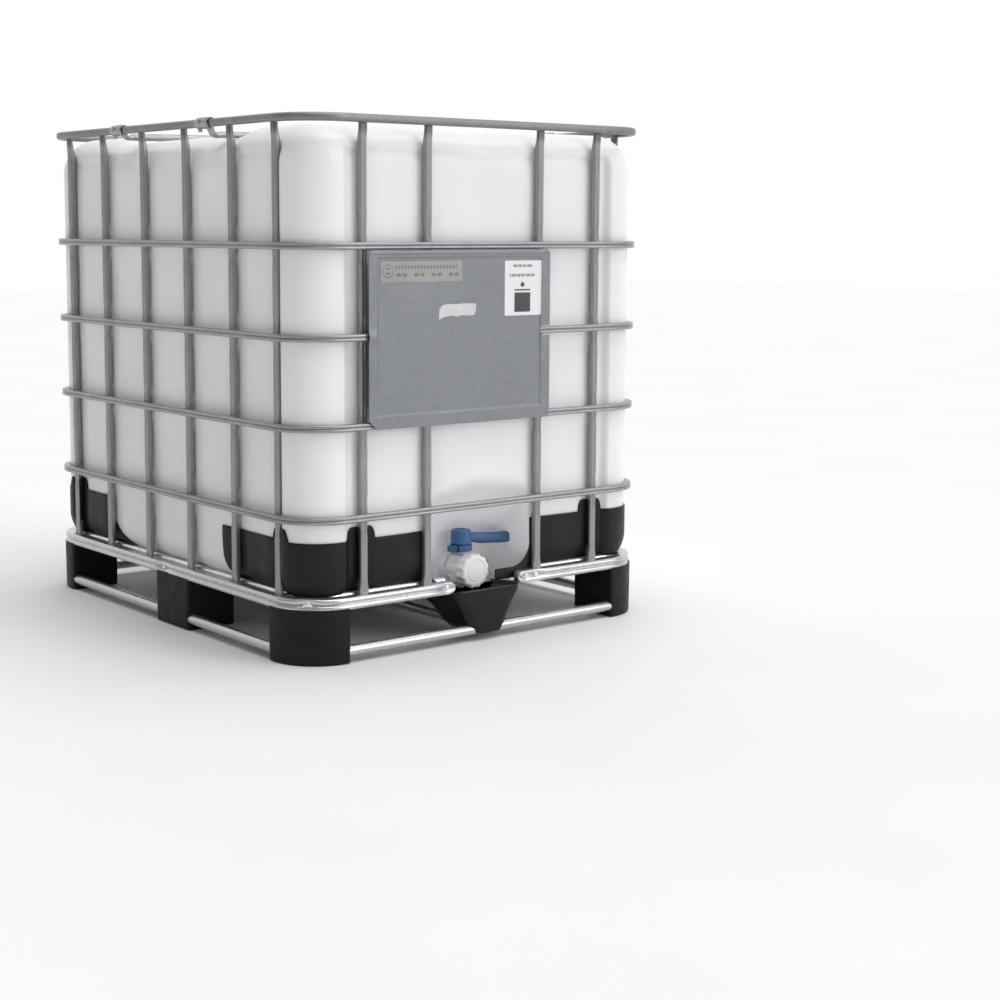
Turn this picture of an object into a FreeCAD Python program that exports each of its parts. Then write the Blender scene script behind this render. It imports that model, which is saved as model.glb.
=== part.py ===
import FreeCAD, Part
import os
import Sketcher

# Intermediate bulk container: a blow-moulded bottle in a welded tube cage on a steel pan with
# plastic feet. Origin at the centre of the footprint on the floor, +X to the right along the
# valve side, +Y to the back, +Z up. Millimetres.

Vector = FreeCAD.Vector
doc = FreeCAD.newDocument("bulk_container")
dims = doc.addObject("Spreadsheet::Sheet", "dims")

DIMENSIONS = {
    "half_width": 500,            # cage, valve side
    "half_depth": 600,            # cage, long side
    "cage_corner": 116,           # outer corner radius of hoops and base rail
    "tube": 16,                   # square tube of hoops and uprights
    "hoop_height_1": 310,         # centre heights of the four hoops
    "hoop_height_2": 505,
    "hoop_height_3": 694,
    "hoop_height_4": 885,
    "rim_radius": 9,              # round tube of the top rim
    "rim_height": 1148,
    "upright_bend": 1118,         # where an upright's top starts to lean outward
    "side_inner": 99,             # upright places each way from the middle of the long sides
    "side_middle": 297,
    "side_outer": 476,
    "front_inner": 158,           # upright places each way from the middle of the short sides
    "front_outer": 329,
    "rail_low": 120,
    "rail_top": 144,
    "rail_deep": 32,
    "rail_gap": 90,               # half of the opening in front of the valve
    "screw_place": 115,           # rail screws each way from the valve
    "screw_radius": 7,
    "flat_deep": 6,               # pressed flats that take the rail screws
    "flat_half": 14,
    "pan_floor": 107,
    "pan_sheet": 2,
    "pan_flange": 143,
    "pan_inset": 44,              # dish opening in from the cage's outside
    "pan_corner": 80,
    "pan_notch": 100,             # half of the notch in front of the valve
    "beam_place": 300,            # channels under the pan, each way from the middle
    "beam_half": 30,
    "beam_high": 12,
    "foot_long": 135,
    "foot_short": 125,
    "foot_middle": 90,            # half length of the back and centre feet
    "side_foot_front": 120,       # reach of the side feet ahead of and behind the middle
    "side_foot_rear": 32,
    "skid_radius": 12,
    "skid_height": 26,
    "skid_inset": 13,
    "play": 0.3,
    "guard_foot": 10,             # the valve guard's underside
    "guard_narrow": 50,           # its half width there and at its top
    "guard_wide": 96,
    "guard_lip": 8,
    "bottle_inset": 37,           # panels in from the cage's outside
    "column_inset": 20,           # corner columns in from the cage's outside
    "bottle_corner": 88,
    "bottle_edge": 80,
    "bottle_top": 1118,
    "block_top": 1140,
    "bottle_wall": 4,
    "scoop_half": 148,
    "scoop_top": 350,
    "scoop_back": 450,
    "guard_low": 130,             # lower edge of the corner protectors
    "guard_top": 260,
    "ear_top": 288,
    "ear_half": 36,
    "bar_front": 212,             # hold-down bars, forward and back of the middle
    "bar_back": 189,
    "bar_half": 22,
    "bar_low": 1119,
    "bar_top": 1133,
    "saddle_half": 28,
    "saddle_top": 1160,
    "plate_left": 331,
    "plate_right": 169,
    "plate_low": 497,
    "plate_top": 876,
    "plate_sheet": 1,
    "valve_height": 149,
    "valve_back": 497,            # stem axis, from the container's middle towards the front
    "valve_bore": 20,
    "ball_radius": 28,
    "housing_radius": 34,
    "spout_radius": 30,           # threaded spout, from the stem axis to the front
    "spout_reach": 48.7,
    "tail_radius": 27,            # tail towards the bottle
    "tail_reach": 34.7,
    "neck_tube": 16,              # the housing's round neck for the stem
    "neck_height": 189.3,
    "nut_radius": 38,
    "nut_start": 22,
    "nut_end": 45,
    "collar_radius": 26,
    "collar_tab": 36,             # reach of the collar's tab to the left
    "collar_low": 189.6,
    "collar_top": 204,
    "stem_radius": 9,
    "stem_top": 232,
    "hub_radius": 24,
    "hub_low": 206,
    "hub_top": 239,
    "arm_half": 14,
    "arm_low": 196,
    "arm_top": 222,
    "arm_fall": 7,                # how much lower the arm's end lies than its start
    "handle_reach": 146,
    "cap_radius": 40,             # places along the valve's axis, from the stem to the front
    "cap_front": 56,
    "cap_back": 24,
    "cap_floor": 52,
    "seal_back": 49,
    "neck_radius": 78,
    "neck_bore": 72,
    "neck_top": 1136,
    "lid_radius": 90,
    "lid_top": 1150,
}
for row, (alias, value) in enumerate(DIMENSIONS.items(), start=1):
    dims.set(f"A{row}", alias.replace("_", " "))
    dims.set(f"B{row}", str(value))
    dims.setAlias(f"B{row}", alias)
doc.recompute()

nodes = []


def size(words):
    """The value of an expression written with the sheet's names."""
    return float(dims.evalExpression(words))


def bind(item, field, words):
    """Binds one property to an expression written with the sheet's names."""
    item.setExpression(field, str(words))


def keep(item, label):
    """Names a finished sub-part."""
    item.Label = label
    nodes.append(item)
    return item


# ---------------------------------------------------------------- sketches and PartDesign bodies

def new_body(label, x=0, y=0, z=0, turn=0):
    body = doc.addObject("PartDesign::Body", label)
    body.Placement = FreeCAD.Placement(Vector(x, y, z), FreeCAD.Rotation(Vector(0, 0, 1), turn))
    return keep(body, label)


def origin_item(body, role):
    return next(item for item in body.Origin.OriginFeatures if item.Role == role)


def sketch_on(body, plane, offset="0"):
    """A sketch on one of the body's own origin planes, moved along the plane's normal."""
    sketch = body.newObject("Sketcher::SketchObject", "Sketch")
    sketch.AttachmentSupport = [(origin_item(body, plane), "")]
    sketch.MapMode = "FlatFace"
    bind(sketch, "AttachmentOffset.Base.z", offset)
    return sketch


def polygon(sketch, corners):
    """A closed outline of straight lines whose corners are pairs of expressions."""
    places = [Vector(size(x), size(y), 0) for x, y in corners]
    first = sketch.GeometryCount
    count = len(places)
    for start, end in zip(places, places[1:] + places[:1]):
        sketch.addGeometry(Part.LineSegment(start, end), False)
    for step in range(count):
        line = first + step
        after = first + (step + 1) % count
        sketch.addConstraint(Sketcher.Constraint("Coincident", line, 2, after, 1))
        for kind, words, value in zip(("DistanceX", "DistanceY"), corners[step], places[step]):
            index = sketch.addConstraint(Sketcher.Constraint(kind, -1, 1, line, 1, value))
            sketch.setExpression(f"Constraints[{index}]", words)


def rounded_loop(sketch, half_x, half_y, radius):
    """A centred rectangle with four equal round corners, sized by three expressions."""
    wide, deep, bend = size(half_x), size(half_y), size(radius)
    inner_x, inner_y = wide - bend, deep - bend
    first = sketch.GeometryCount
    sides = (
        (Vector(-inner_x, -deep, 0), Vector(inner_x, -deep, 0)),
        (Vector(wide, -inner_y, 0), Vector(wide, inner_y, 0)),
        (Vector(inner_x, deep, 0), Vector(-inner_x, deep, 0)),
        (Vector(-wide, inner_y, 0), Vector(-wide, -inner_y, 0)),
    )
    for start, end in sides:
        sketch.addGeometry(Part.LineSegment(start, end), False)
    quarter = 1.5707963267948966
    centres = ((inner_x, -inner_y), (inner_x, inner_y), (-inner_x, inner_y), (-inner_x, -inner_y))
    for step, (x, y) in enumerate(centres):
        circle = Part.Circle(Vector(x, y, 0), Vector(0, 0, 1), bend)
        arc = Part.ArcOfCircle(circle, (step - 1) * quarter, step * quarter)
        sketch.addGeometry(arc, False)
    for step in range(4):
        line, arc, after = first + step, first + 4 + step, first + (step + 1) % 4
        sketch.addConstraint(Sketcher.Constraint("Tangent", line, 2, arc, 1))
        sketch.addConstraint(Sketcher.Constraint("Tangent", arc, 2, after, 1))
        sketch.addConstraint(Sketcher.Constraint(("Horizontal", "Vertical")[step % 2], line))
        if step:
            sketch.addConstraint(Sketcher.Constraint("Equal", first + 4, arc))
    named = (
        ("DistanceY", (first, 1, -1, 1), half_y, deep),
        ("DistanceX", (-1, 1, first + 1, 1), half_x, wide),
        ("DistanceY", (-1, 1, first + 2, 1), half_y, deep),
        ("DistanceX", (first + 3, 1, -1, 1), half_x, wide),
        ("Radius", (first + 4,), radius, bend),
    )
    for kind, places, words, value in named:
        index = sketch.addConstraint(Sketcher.Constraint(kind, *places, value))
        sketch.setExpression(f"Constraints[{index}]", words)


def circle_loop(sketch, x, y, radius):
    """A circle placed and sized by expressions."""
    centre = Vector(size(x), size(y), 0)
    index = sketch.addGeometry(Part.Circle(centre, Vector(0, 0, 1), size(radius)), False)
    for kind, places, words in (
        ("DistanceX", (-1, 1, index, 3), x),
        ("DistanceY", (-1, 1, index, 3), y),
        ("Radius", (index,), radius),
    ):
        number = sketch.addConstraint(Sketcher.Constraint(kind, *places, size(words)))
        sketch.setExpression(f"Constraints[{number}]", words)


def pad(body, sketch, length, both_ways=False):
    feature = body.newObject("PartDesign::Pad", "Pad")
    feature.Profile = sketch
    feature.Midplane = both_ways
    bind(feature, "Length", length)
    return feature


def pocket(body, sketch, length):
    """Cuts upward from the sketch."""
    feature = body.newObject("PartDesign::Pocket", "Pocket")
    feature.Profile = sketch
    feature.Reversed = True
    bind(feature, "Length", length)


def revolve(body, sketch, axis):
    feature = body.newObject("PartDesign::Revolution", "Turned")
    feature.Profile = sketch
    feature.ReferenceAxis = (origin_item(body, axis), [""])
    feature.Angle = 360


def pipe(body, path, profile):
    feature = body.newObject("PartDesign::AdditivePipe", "Pipe")
    feature.Profile = profile
    feature.Spine = (path, [])


def fillet(body, base, radius, wanted):
    """Rounds the edges of the body's last feature that the test picks."""
    doc.recompute()
    picked = [f"Edge{i}" for i, edge in enumerate(base.Shape.Edges, start=1) if wanted(edge)]
    feature = body.newObject("PartDesign::Fillet", "Fillet")
    feature.Base = (base, picked)
    bind(feature, "Radius", radius)


def is_upright(edge):
    box = edge.BoundBox
    return box.ZLength > 1 and box.XLength < 0.01 and box.YLength < 0.01


# ---------------------------------------------------------------- Part primitives and booleans

def place(item, start, direction=(0, 0, 1)):
    """Puts a primitive's base at three expressions, with its own Z along a direction."""
    item.Placement = FreeCAD.Placement(Vector(), FreeCAD.Rotation(Vector(0, 0, 1), Vector(*direction)))
    for letter, words in zip("xyz", start):
        bind(item, f"Placement.Base.{letter}", words)


def cylinder(radius, length, start, direction=(0, 0, 1)):
    item = doc.addObject("Part::Cylinder", "Cylinder")
    bind(item, "Radius", radius)
    bind(item, "Height", length)
    place(item, start, direction)
    return item


def sphere(radius, centre):
    item = doc.addObject("Part::Sphere", "Sphere")
    bind(item, "Radius", radius)
    place(item, centre)
    return item


def box(low, high):
    """A box between two corners, each three expressions."""
    item = doc.addObject("Part::Box", "Box")
    for field, start, end in zip(("Length", "Width", "Height"), low, high):
        bind(item, field, f"({end}) - ({start})")
    place(item, low)
    return item


def fuse(items, name="Fusion"):
    item = doc.addObject("Part::MultiFuse", name)
    item.Shapes = items
    return item


def cut(base, tools, name="Cut"):
    item = doc.addObject("Part::Cut", name)
    item.Base = base
    item.Tool = tools[0] if len(tools) == 1 else fuse(tools)
    return item


# ---------------------------------------------------------------- cage

HALF_X, HALF_Y = "dims.half_width", "dims.half_depth"


def ring_pad(label, low, height, deep):
    """A flat ring of rectangular section along the cage's outside."""
    body = new_body(label)
    sketch = sketch_on(body, "XY_Plane", low)
    for inset in ("0", deep):
        rounded_loop(sketch, f"{HALF_X} - {inset}", f"{HALF_Y} - {inset}", f"dims.cage_corner - {inset}")
    pad(body, sketch, height)
    return body


def tube_ring(label, radius, height, inset):
    """A round tube bent into a closed ring; its centre line is inset from the cage's outside."""
    body = new_body(label)
    path = sketch_on(body, "XY_Plane", height)
    rounded_loop(path, f"{HALF_X} - {inset}", f"{HALF_Y} - {inset}", f"dims.cage_corner - {inset}")
    profile = sketch_on(body, "XZ_Plane")
    circle_loop(profile, f"{HALF_X} - {inset}", height, radius)
    pipe(body, path, profile)
    return body


def make_hoops():
    for number in (1, 2, 3, 4):
        ring_pad(f"hoop_{number}", f"dims.hoop_height_{number} - dims.tube / 2", "dims.tube", "dims.tube")


def make_upright(label, x, y, turn):
    """A straight square tube whose top leans out to meet the rim. Its own X points outward."""
    body = new_body(label, x, y, 0, turn)
    sketch = sketch_on(body, "XZ_Plane")
    top = "dims.rim_height - dims.rim_radius"
    inner, outer = "-2 * dims.tube", "-dims.tube"
    polygon(sketch, (
        (inner, "dims.rail_top"),
        (outer, "dims.rail_top"),
        (outer, "dims.upright_bend"),
        ("-dims.rim_radius + 1", top),
        ("-dims.rim_radius - 10", top),
        (inner, "dims.upright_bend + dims.tube / 4"),
    ))
    pad(body, sketch, "dims.tube", both_ways=True)


def each_way(places):
    """Places each way from the middle, in order."""
    return sorted([-place for place in places] + places)


def make_uprights():
    side_places = each_way([size(f"dims.side_{name}") for name in ("inner", "middle", "outer")])
    front_places = each_way([size(f"dims.front_{name}") for name in ("inner", "outer")])
    back_places = sorted(front_places + [0.0])
    half_x, half_y = size(HALF_X), size(HALF_Y)
    for number, y in enumerate(side_places, start=1):
        make_upright(f"upright_left_{number}", -half_x, y, 180)
        make_upright(f"upright_right_{number}", half_x, y, 0)
    for number, x in enumerate(front_places, start=1):
        make_upright(f"upright_front_{number}", x, -half_y, -90)
    for number, x in enumerate(back_places, start=1):
        make_upright(f"upright_back_{number}", x, half_y, 90)


def rectangle(sketch, low_x, high_x, low_y, high_y):
    polygon(sketch, ((low_x, low_y), (high_x, low_y), (high_x, high_y), (low_x, high_y)))


def make_base_rail():
    """Flattened tube round the foot of the cage, open in front of the valve."""
    body = ring_pad("base_rail", "dims.rail_low", "dims.rail_top - dims.rail_low", "dims.rail_deep")
    gap = sketch_on(body, "XY_Plane", "dims.rail_low - 1")
    rectangle(gap, "-dims.rail_gap", "dims.rail_gap", f"-{HALF_Y} - 1", f"-{HALF_Y} + dims.rail_deep + 1")
    pocket(body, gap, "dims.rail_top - dims.rail_low + 2")
    flats = sketch_on(body, "XY_Plane", "dims.rail_low - 1")
    for side in ("", "-"):
        place = f"{side}dims.screw_place"
        rectangle(flats, f"{place} - dims.flat_half", f"{place} + dims.flat_half",
                  f"-{HALF_Y} - 1", f"-{HALF_Y} + dims.flat_deep")
        near = f"{side}({HALF_X} - dims.flat_deep)"
        far = f"{side}({HALF_X} + 1)"
        rectangle(flats, near, far, "-dims.flat_half", "dims.flat_half")
    rectangle(flats, "-dims.flat_half", "dims.flat_half", f"{HALF_Y} - dims.flat_deep", f"{HALF_Y} + 1")
    pocket(body, flats, "dims.rail_top - dims.rail_low + 2")


def make_rail_screws():
    """Low cylinder heads in the rail's pressed flats."""
    height = "(dims.rail_low + dims.rail_top) / 2"
    spots = [(("0", f"{HALF_Y} - dims.flat_deep", height), (0, 1, 0))]
    for sign in (-1, 1):
        spots.append(((f"{sign} * dims.screw_place", f"-{HALF_Y} + dims.flat_deep", height), (0, -1, 0)))
        spots.append(((f"{sign} * ({HALF_X} - dims.flat_deep)", "0", height), (sign, 0, 0)))
    heads = [cylinder("dims.screw_radius", "dims.flat_deep - 1", *spot) for spot in spots]
    keep(fuse(heads, "rail_screws"), "rail_screws")


def make_hold_down_bar(label, place_y):
    """A flat bar over the bottle whose ends climb over the rim tube."""
    body = new_body(label, 0, place_y)
    half = f"({HALF_X} - dims.rim_radius)"
    profile = sketch_on(body, "XZ_Plane")
    right = (
        (f"{half} - 21", "dims.bar_low"),
        (f"{half} - 9.5", "dims.rim_height + dims.rim_radius"),
        (f"{half} + 6", "dims.rim_height + dims.rim_radius"),
        (f"{half} + 6", "dims.saddle_top"),
        (f"{half} - 13", "dims.saddle_top"),
        (f"{half} - 29", "dims.bar_top"),
    )
    left = tuple((f"-({x})", z) for x, z in reversed(right))
    polygon(profile, right + left)
    pad(body, profile, "2 * dims.saddle_half", both_ways=True)
    waist = sketch_on(body, "XY_Plane", "dims.bar_low - 1")
    for side in ("", "-"):
        near, far = f"{side}dims.bar_half", f"{side}(dims.saddle_half + 1)"
        rectangle(waist, f"-{half} + 45", f"{half} - 45", near, far)
    pocket(body, waist, "dims.saddle_top")


# ---------------------------------------------------------------- base

def make_base_pan():
    """Pressed steel dish with a flat flange, notched in front of the valve."""
    body = new_body("base_pan")
    flange = sketch_on(body, "XY_Plane", "dims.pan_flange - dims.pan_sheet")
    edge = "(dims.rail_deep + dims.play)"
    rounded_loop(flange, f"{HALF_X} - {edge}", f"{HALF_Y} - {edge}", f"dims.cage_corner - {edge}")
    pad(body, flange, "dims.pan_sheet")
    outer = "(dims.pan_inset - dims.pan_sheet)"
    dish = sketch_on(body, "XY_Plane", "dims.pan_floor")
    rounded_loop(dish, f"{HALF_X} - {outer}", f"{HALF_Y} - {outer}", "dims.pan_corner + dims.pan_sheet")
    pad(body, dish, "dims.pan_flange - dims.pan_sheet - dims.pan_floor")
    hollow = sketch_on(body, "XY_Plane", "dims.pan_floor + dims.pan_sheet")
    rounded_loop(hollow, f"{HALF_X} - dims.pan_inset", f"{HALF_Y} - dims.pan_inset", "dims.pan_corner")
    pocket(body, hollow, "dims.pan_flange")
    notch = sketch_on(body, "XY_Plane", "dims.pan_floor - 1")
    rectangle(notch, "-dims.pan_notch", "dims.pan_notch", f"-{HALF_Y}", "-dims.valve_back - 3")
    pocket(body, notch, "dims.pan_flange")


def make_deck_beams():
    """Two shallow channels across the pan's underside, open downward."""
    beams = []
    reach = f"({HALF_X} - dims.pan_inset - 20)"
    open_reach = f"({reach} + 1)"
    low, top = "dims.pan_floor - dims.beam_high", "dims.pan_floor"
    for middle in ("-dims.beam_place", "dims.beam_place"):
        near, far = f"{middle} - dims.beam_half", f"{middle} + dims.beam_half"
        outside = box((f"-{reach}", near, low), (reach, far, top))
        inside = box((f"-{open_reach}", f"{near} + 3", f"{low} - 1"),
                     (open_reach, f"{far} - 3", f"{top} - 3"))
        beams.append(cut(outside, [inside]))
    keep(fuse(beams, "deck_beams"), "deck_beams")


def skid_clearance():
    """The room that the skid tubes need inside the feet."""
    ring = tube_ring("skid_room", "dims.skid_radius + dims.play", "dims.skid_height", "dims.skid_inset")
    nodes.remove(ring)
    runner = cylinder("dims.skid_radius + dims.play", f"2 * {HALF_Y}",
                      ("0", f"-{HALF_Y}", "dims.skid_height"), (0, 1, 0))
    return ring, runner


def drilled(label, block, tools):
    """A foot with the skid tubes' passages cut through it."""
    nodes.remove(block)
    block.Label = f"{label}_block"
    keep(cut(block, tools, label), label)


def make_corner_foot(label, side_x, side_y, room):
    """A foot under a cage corner: full height under the rail, lower under the pan."""
    body = new_body(f"{label}_body")
    corner_x, corner_y = f"{side_x}({HALF_X} - 1)", f"{side_y}({HALF_Y} - 1)"
    inner_x, inner_y = f"{side_x}({HALF_X} - dims.foot_short)", f"{side_y}({HALF_Y} - dims.foot_long)"
    lower = sketch_on(body, "XY_Plane")
    rectangle(lower, inner_x, corner_x, inner_y, corner_y)
    block = pad(body, lower, "dims.rail_low")
    far_x, far_y = size(corner_x), size(corner_y)
    fillet(body, block, "dims.cage_corner - 6", lambda edge: is_upright(edge)
           and abs(edge.BoundBox.XMin - far_x) < 1 and abs(edge.BoundBox.YMin - far_y) < 1)
    step = sketch_on(body, "XY_Plane", "dims.pan_floor - dims.play")
    reach = "(dims.pan_inset - dims.pan_sheet - 1)"
    rectangle(step, f"{inner_x} - {side_x}1", f"{side_x}({HALF_X} - {reach})",
              f"{inner_y} - {side_y}1", f"{side_y}({HALF_Y} - {reach})")
    pocket(body, step, "dims.rail_low")
    body.Tip = body.Group[-1]
    drilled(label, body, [room])


def make_middle_foot(label, low, high, step_low, step_high, tools):
    """A foot under the middle of a side; the step leaves room for the pan."""
    block = box((*low, "0"), (*high, "dims.rail_low"))
    step = box((*step_low, "dims.pan_floor - dims.play"), (*step_high, "dims.rail_low + 1"))
    keep(cut(block, [step] + tools, label), label)


def make_middle_feet(room, runner):
    half = "dims.foot_middle"
    reach = "(dims.pan_inset - dims.pan_sheet - 1)"
    for label, side in (("foot_left", -1), ("foot_right", 1)):
        near, far = f"{HALF_X} - dims.foot_short", f"{HALF_X} - 1"
        ends = (near, far) if side > 0 else (f"-({far})", f"-({near})")
        pan = (near + " - 1", f"{HALF_X} - {reach}")
        pan_ends = pan if side > 0 else (f"-({pan[1]})", f"-({pan[0]})")
        make_middle_foot(label, (ends[0], "-dims.side_foot_front"), (ends[1], "dims.side_foot_rear"),
                         (pan_ends[0], "-dims.side_foot_front - 1"),
                         (pan_ends[1], "dims.side_foot_rear + 1"), [room])
    make_middle_foot("foot_back", (f"-{half}", f"{HALF_Y} - dims.foot_long"), (half, f"{HALF_Y} - 1"),
                     (f"-{half} - 1", f"{HALF_Y} - dims.foot_long - 1"),
                     (f"{half} + 1", f"{HALF_Y} - {reach}"), [room, runner])
    centre = box(("-70", f"-{half}", "0"), ("70", half, "dims.pan_floor - dims.play"))
    keep(cut(centre, [runner], "foot_centre"), "foot_centre")


def guard_outline(body, height, half_x, half_y, radius):
    """One of the valve guard's outlines; all of them end on the same front plane."""
    sketch = sketch_on(body, "XY_Plane", height)
    bind(sketch, "AttachmentOffset.Base.y", f"{half_y} - 1.4 - {HALF_Y}")
    rounded_loop(sketch, half_x, half_y, radius)
    return sketch


def make_valve_guard(room, runner):
    """A tapered guard below the valve that clasps the skid tube, with a lip round its front."""
    body = new_body("valve_guard_body")
    top = "dims.pan_floor - dims.play"
    low = guard_outline(body, "dims.guard_foot", "dims.guard_narrow", "49", "30")
    middle = guard_outline(body, "80", "68", "62", "36")
    high = guard_outline(body, top, "dims.guard_wide", "90", "50")
    taper = body.newObject("PartDesign::AdditiveLoft", "Taper")
    taper.Profile = low
    taper.Sections = [middle, high]
    taper.Ruled = True
    lip = guard_outline(body, top, "dims.guard_wide", "90", "50")
    inner_x = "dims.guard_wide - dims.guard_lip"
    rounded_loop(lip, inner_x, "90 - dims.guard_lip", "50 - dims.guard_lip")
    pad(body, lip, "12")
    back = sketch_on(body, "XY_Plane", top)
    rectangle(back, "-110", "110", f"-{HALF_Y} + 97", f"-{HALF_Y} + 200")
    pocket(body, back, "14")
    drilled("valve_guard", body, [room, runner])


def make_skid():
    tube_ring("skid_frame", "dims.skid_radius", "dims.skid_height", "dims.skid_inset")
    reach = f"({HALF_Y} - dims.skid_inset - dims.skid_radius - dims.play)"
    runner = cylinder("dims.skid_radius", f"2 * {reach}", ("0", f"-{reach}", "dims.skid_height"), (0, 1, 0))
    keep(runner, "skid_runner")


# ---------------------------------------------------------------- bottle and its corner protectors

def rounded_block(half_x, half_y, low, high, corner, edge):
    """A block with round upright corners and round top and bottom edges."""
    block = Part.makeBox(2 * half_x, 2 * half_y, high - low, Vector(-half_x, -half_y, low))
    block = block.makeFillet(corner, [line for line in block.Edges if is_upright(line)])
    flat = [line for line in block.Edges if line.BoundBox.ZLength < 0.01]
    return block.makeFillet(edge, flat)


def corner_zones(near_x, near_y, far=700):
    """Four boxes that hold everything beyond near_x and near_y at the container's corners."""
    zones = []
    for x in (-far, near_x):
        for y in (-far, near_y):
            zones.append(Part.makeBox(far - near_x, far - near_y, 1400, Vector(x, y, 0)))
    return Part.makeCompound(zones)


def bottle_skin(grow):
    """The bottle's outside, grown by a distance: panels, corner columns and raised top blocks."""
    half_x, half_y = size(HALF_X), size(HALF_Y)
    panel, column = size("dims.bottle_inset") - grow, size("dims.column_inset") - grow
    corner, edge = size("dims.bottle_corner") + grow, size("dims.bottle_edge") + grow
    low = size("dims.pan_floor + dims.pan_sheet") - grow
    top = size("dims.bottle_top") + grow
    high = size("dims.block_top") + grow
    skin = rounded_block(half_x - panel, half_y - panel, low, top, corner, edge)
    columns = rounded_block(half_x - column, half_y - column, low + 41, high, corner, edge)
    columns = columns.common(corner_zones(396 - grow, 490 - grow))
    blocks = rounded_block(half_x - panel - 30, half_y - panel - 30, 900, high, 60, 24)
    blocks = blocks.common(corner_zones(200 - grow, 280 - grow))
    return skin.fuse([columns, blocks])


def scoop_prism(grow):
    """The sloped recess round the valve."""
    half = size("dims.scoop_half") + grow
    top, back = size("dims.scoop_top") + grow, -size("dims.scoop_back") + grow
    front = -size(HALF_Y) - 20
    slope_top = -size(f"{HALF_Y} - dims.bottle_inset")
    corners = [(front, 80), (front, top), (slope_top, top), (back, top - 125), (back, 80)]
    wire = Part.makePolygon([Vector(-half, y, z) for y, z in corners + corners[:1]])
    return Part.Face(wire).extrude(Vector(2 * half, 0, 0))


def valve_cylinder(radius, front, back):
    """A cylinder on the valve's axis between two places along Y."""
    start = Vector(0, front, size("dims.valve_height"))
    return Part.makeCylinder(radius, back - front, start, Vector(0, 1, 0))


def make_bottle():
    """A hollow bottle with a filling neck on top and an outlet neck in the valve recess."""
    wall, bore = size("dims.bottle_wall"), size("dims.valve_bore")
    back = -size("dims.scoop_back")
    neck, neck_bore = size("dims.neck_radius"), size("dims.neck_bore")
    top, neck_top = size("dims.bottle_top"), size("dims.neck_top")
    outside = bottle_skin(0).cut(scoop_prism(0))
    outside = outside.fuse([
        valve_cylinder(size("dims.tail_radius"), back - 12, back + 1),
        Part.makeCylinder(neck, neck_top - top + 2, Vector(0, 0, top - 2)),
    ])
    cavity = bottle_skin(-wall).cut(scoop_prism(wall))
    ways = [
        valve_cylinder(bore, back - 20, back + 20),
        Part.makeCylinder(neck_bore, 60, Vector(0, 0, top - 20)),
    ]
    bottle = doc.addObject("Part::Feature", "bottle")
    bottle.Shape = outside.cut(cavity.fuse(ways))
    keep(bottle, "bottle")


def make_protector(label, side_x, side_y, front_end, side_end):
    """A moulded shell round one lower corner, with ears and ribs beside the nearest uprights."""
    low, top, ear = size("dims.guard_low"), size("dims.guard_top"), size("dims.ear_top")
    half_ear, tube = size("dims.ear_half"), size("dims.tube")
    near_x = size("dims.front_outer")
    near_y = size("dims.side_outer")
    far = 700
    arms = [
        Part.makeBox(far - front_end, far - 400, top - low, Vector(front_end, 400, low)),
        Part.makeBox(far - 300, far - side_end, top - low, Vector(300, side_end, low)),
        Part.makeBox(2 * half_ear, far - 400, ear - low, Vector(near_x - half_ear, 400, low)),
        Part.makeBox(far - 300, 2 * half_ear, ear - low, Vector(300, near_y - half_ear, low)),
    ]
    zone = arms[0].fuse(arms[1:])
    skin = 3.4
    gap = 0.4
    shell = bottle_skin(gap + skin).cut(bottle_skin(gap)).common(place_in_corner(zone, side_x, side_y))
    rib, reach = 4, size("dims.bottle_inset") - 3 * gap - 20
    ribs = []
    for offset in (-tube / 2 - rib - 0.5, tube / 2 + 0.5):
        face_y = size(f"{HALF_Y} - dims.bottle_inset") + 2
        face_x = size(f"{HALF_X} - dims.bottle_inset") + 2
        ribs.append(Part.makeBox(rib, reach, ear - 204, Vector(near_x + offset, face_y, 200)))
        if offset < 0:
            ribs.append(Part.makeBox(reach, rib, ear - 204, Vector(face_x, near_y + offset, 200)))
    ribs = [place_in_corner(item, side_x, side_y) for item in ribs]
    guard = doc.addObject("Part::Feature", label)
    guard.Shape = shell.fuse(ribs).removeSplitter()
    keep(guard, label)


def place_in_corner(shape, side_x, side_y):
    """Mirrors a shape made for the back right corner into another corner."""
    if side_x < 0:
        shape = shape.mirror(Vector(), Vector(1, 0, 0))
    if side_y < 0:
        shape = shape.mirror(Vector(), Vector(0, 1, 0))
    return shape


# ---------------------------------------------------------------- label plate

def make_label_plate():
    """A thin sheet on the front hoops, notched where the third hoop comes through."""
    body = new_body("label_plate", 0, -size(HALF_Y))
    sketch = sketch_on(body, "XZ_Plane")
    left, right = "-dims.plate_left", "dims.plate_right"
    low, top = "dims.plate_low", "dims.plate_top"
    polygon(sketch, (
        (left, f"{low} + 20"), (f"{left} + 20", low), (right, low),
        (right, "dims.hoop_height_3 - 11"), (f"{right} - 27", "dims.hoop_height_3 - 11"),
        (f"{right} - 27", "dims.hoop_height_3 + 11"), (right, "dims.hoop_height_3 + 11"),
        (right, f"{top} - 8"), (f"{right} - 8", top), (f"{left} + 8", top), (left, f"{top} - 8"),
    ))
    pad(body, sketch, "dims.plate_sheet")


def make_label_cards():
    """Three plain cards on the plate."""
    face, front = f"-{HALF_Y} - dims.plate_sheet", f"-{HALF_Y} - dims.plate_sheet - 0.5"
    spots = ((-300, -82, 808, 852), (38, 143, 729, 851), (-146, -42, 728, 759))
    cards = [box((str(x0), front, str(z0)), (str(x1), face, str(z1))) for x0, x1, z0, z1 in spots]
    keep(fuse(cards, "label_cards"), "label_cards")


# ---------------------------------------------------------------- filling lid

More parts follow.
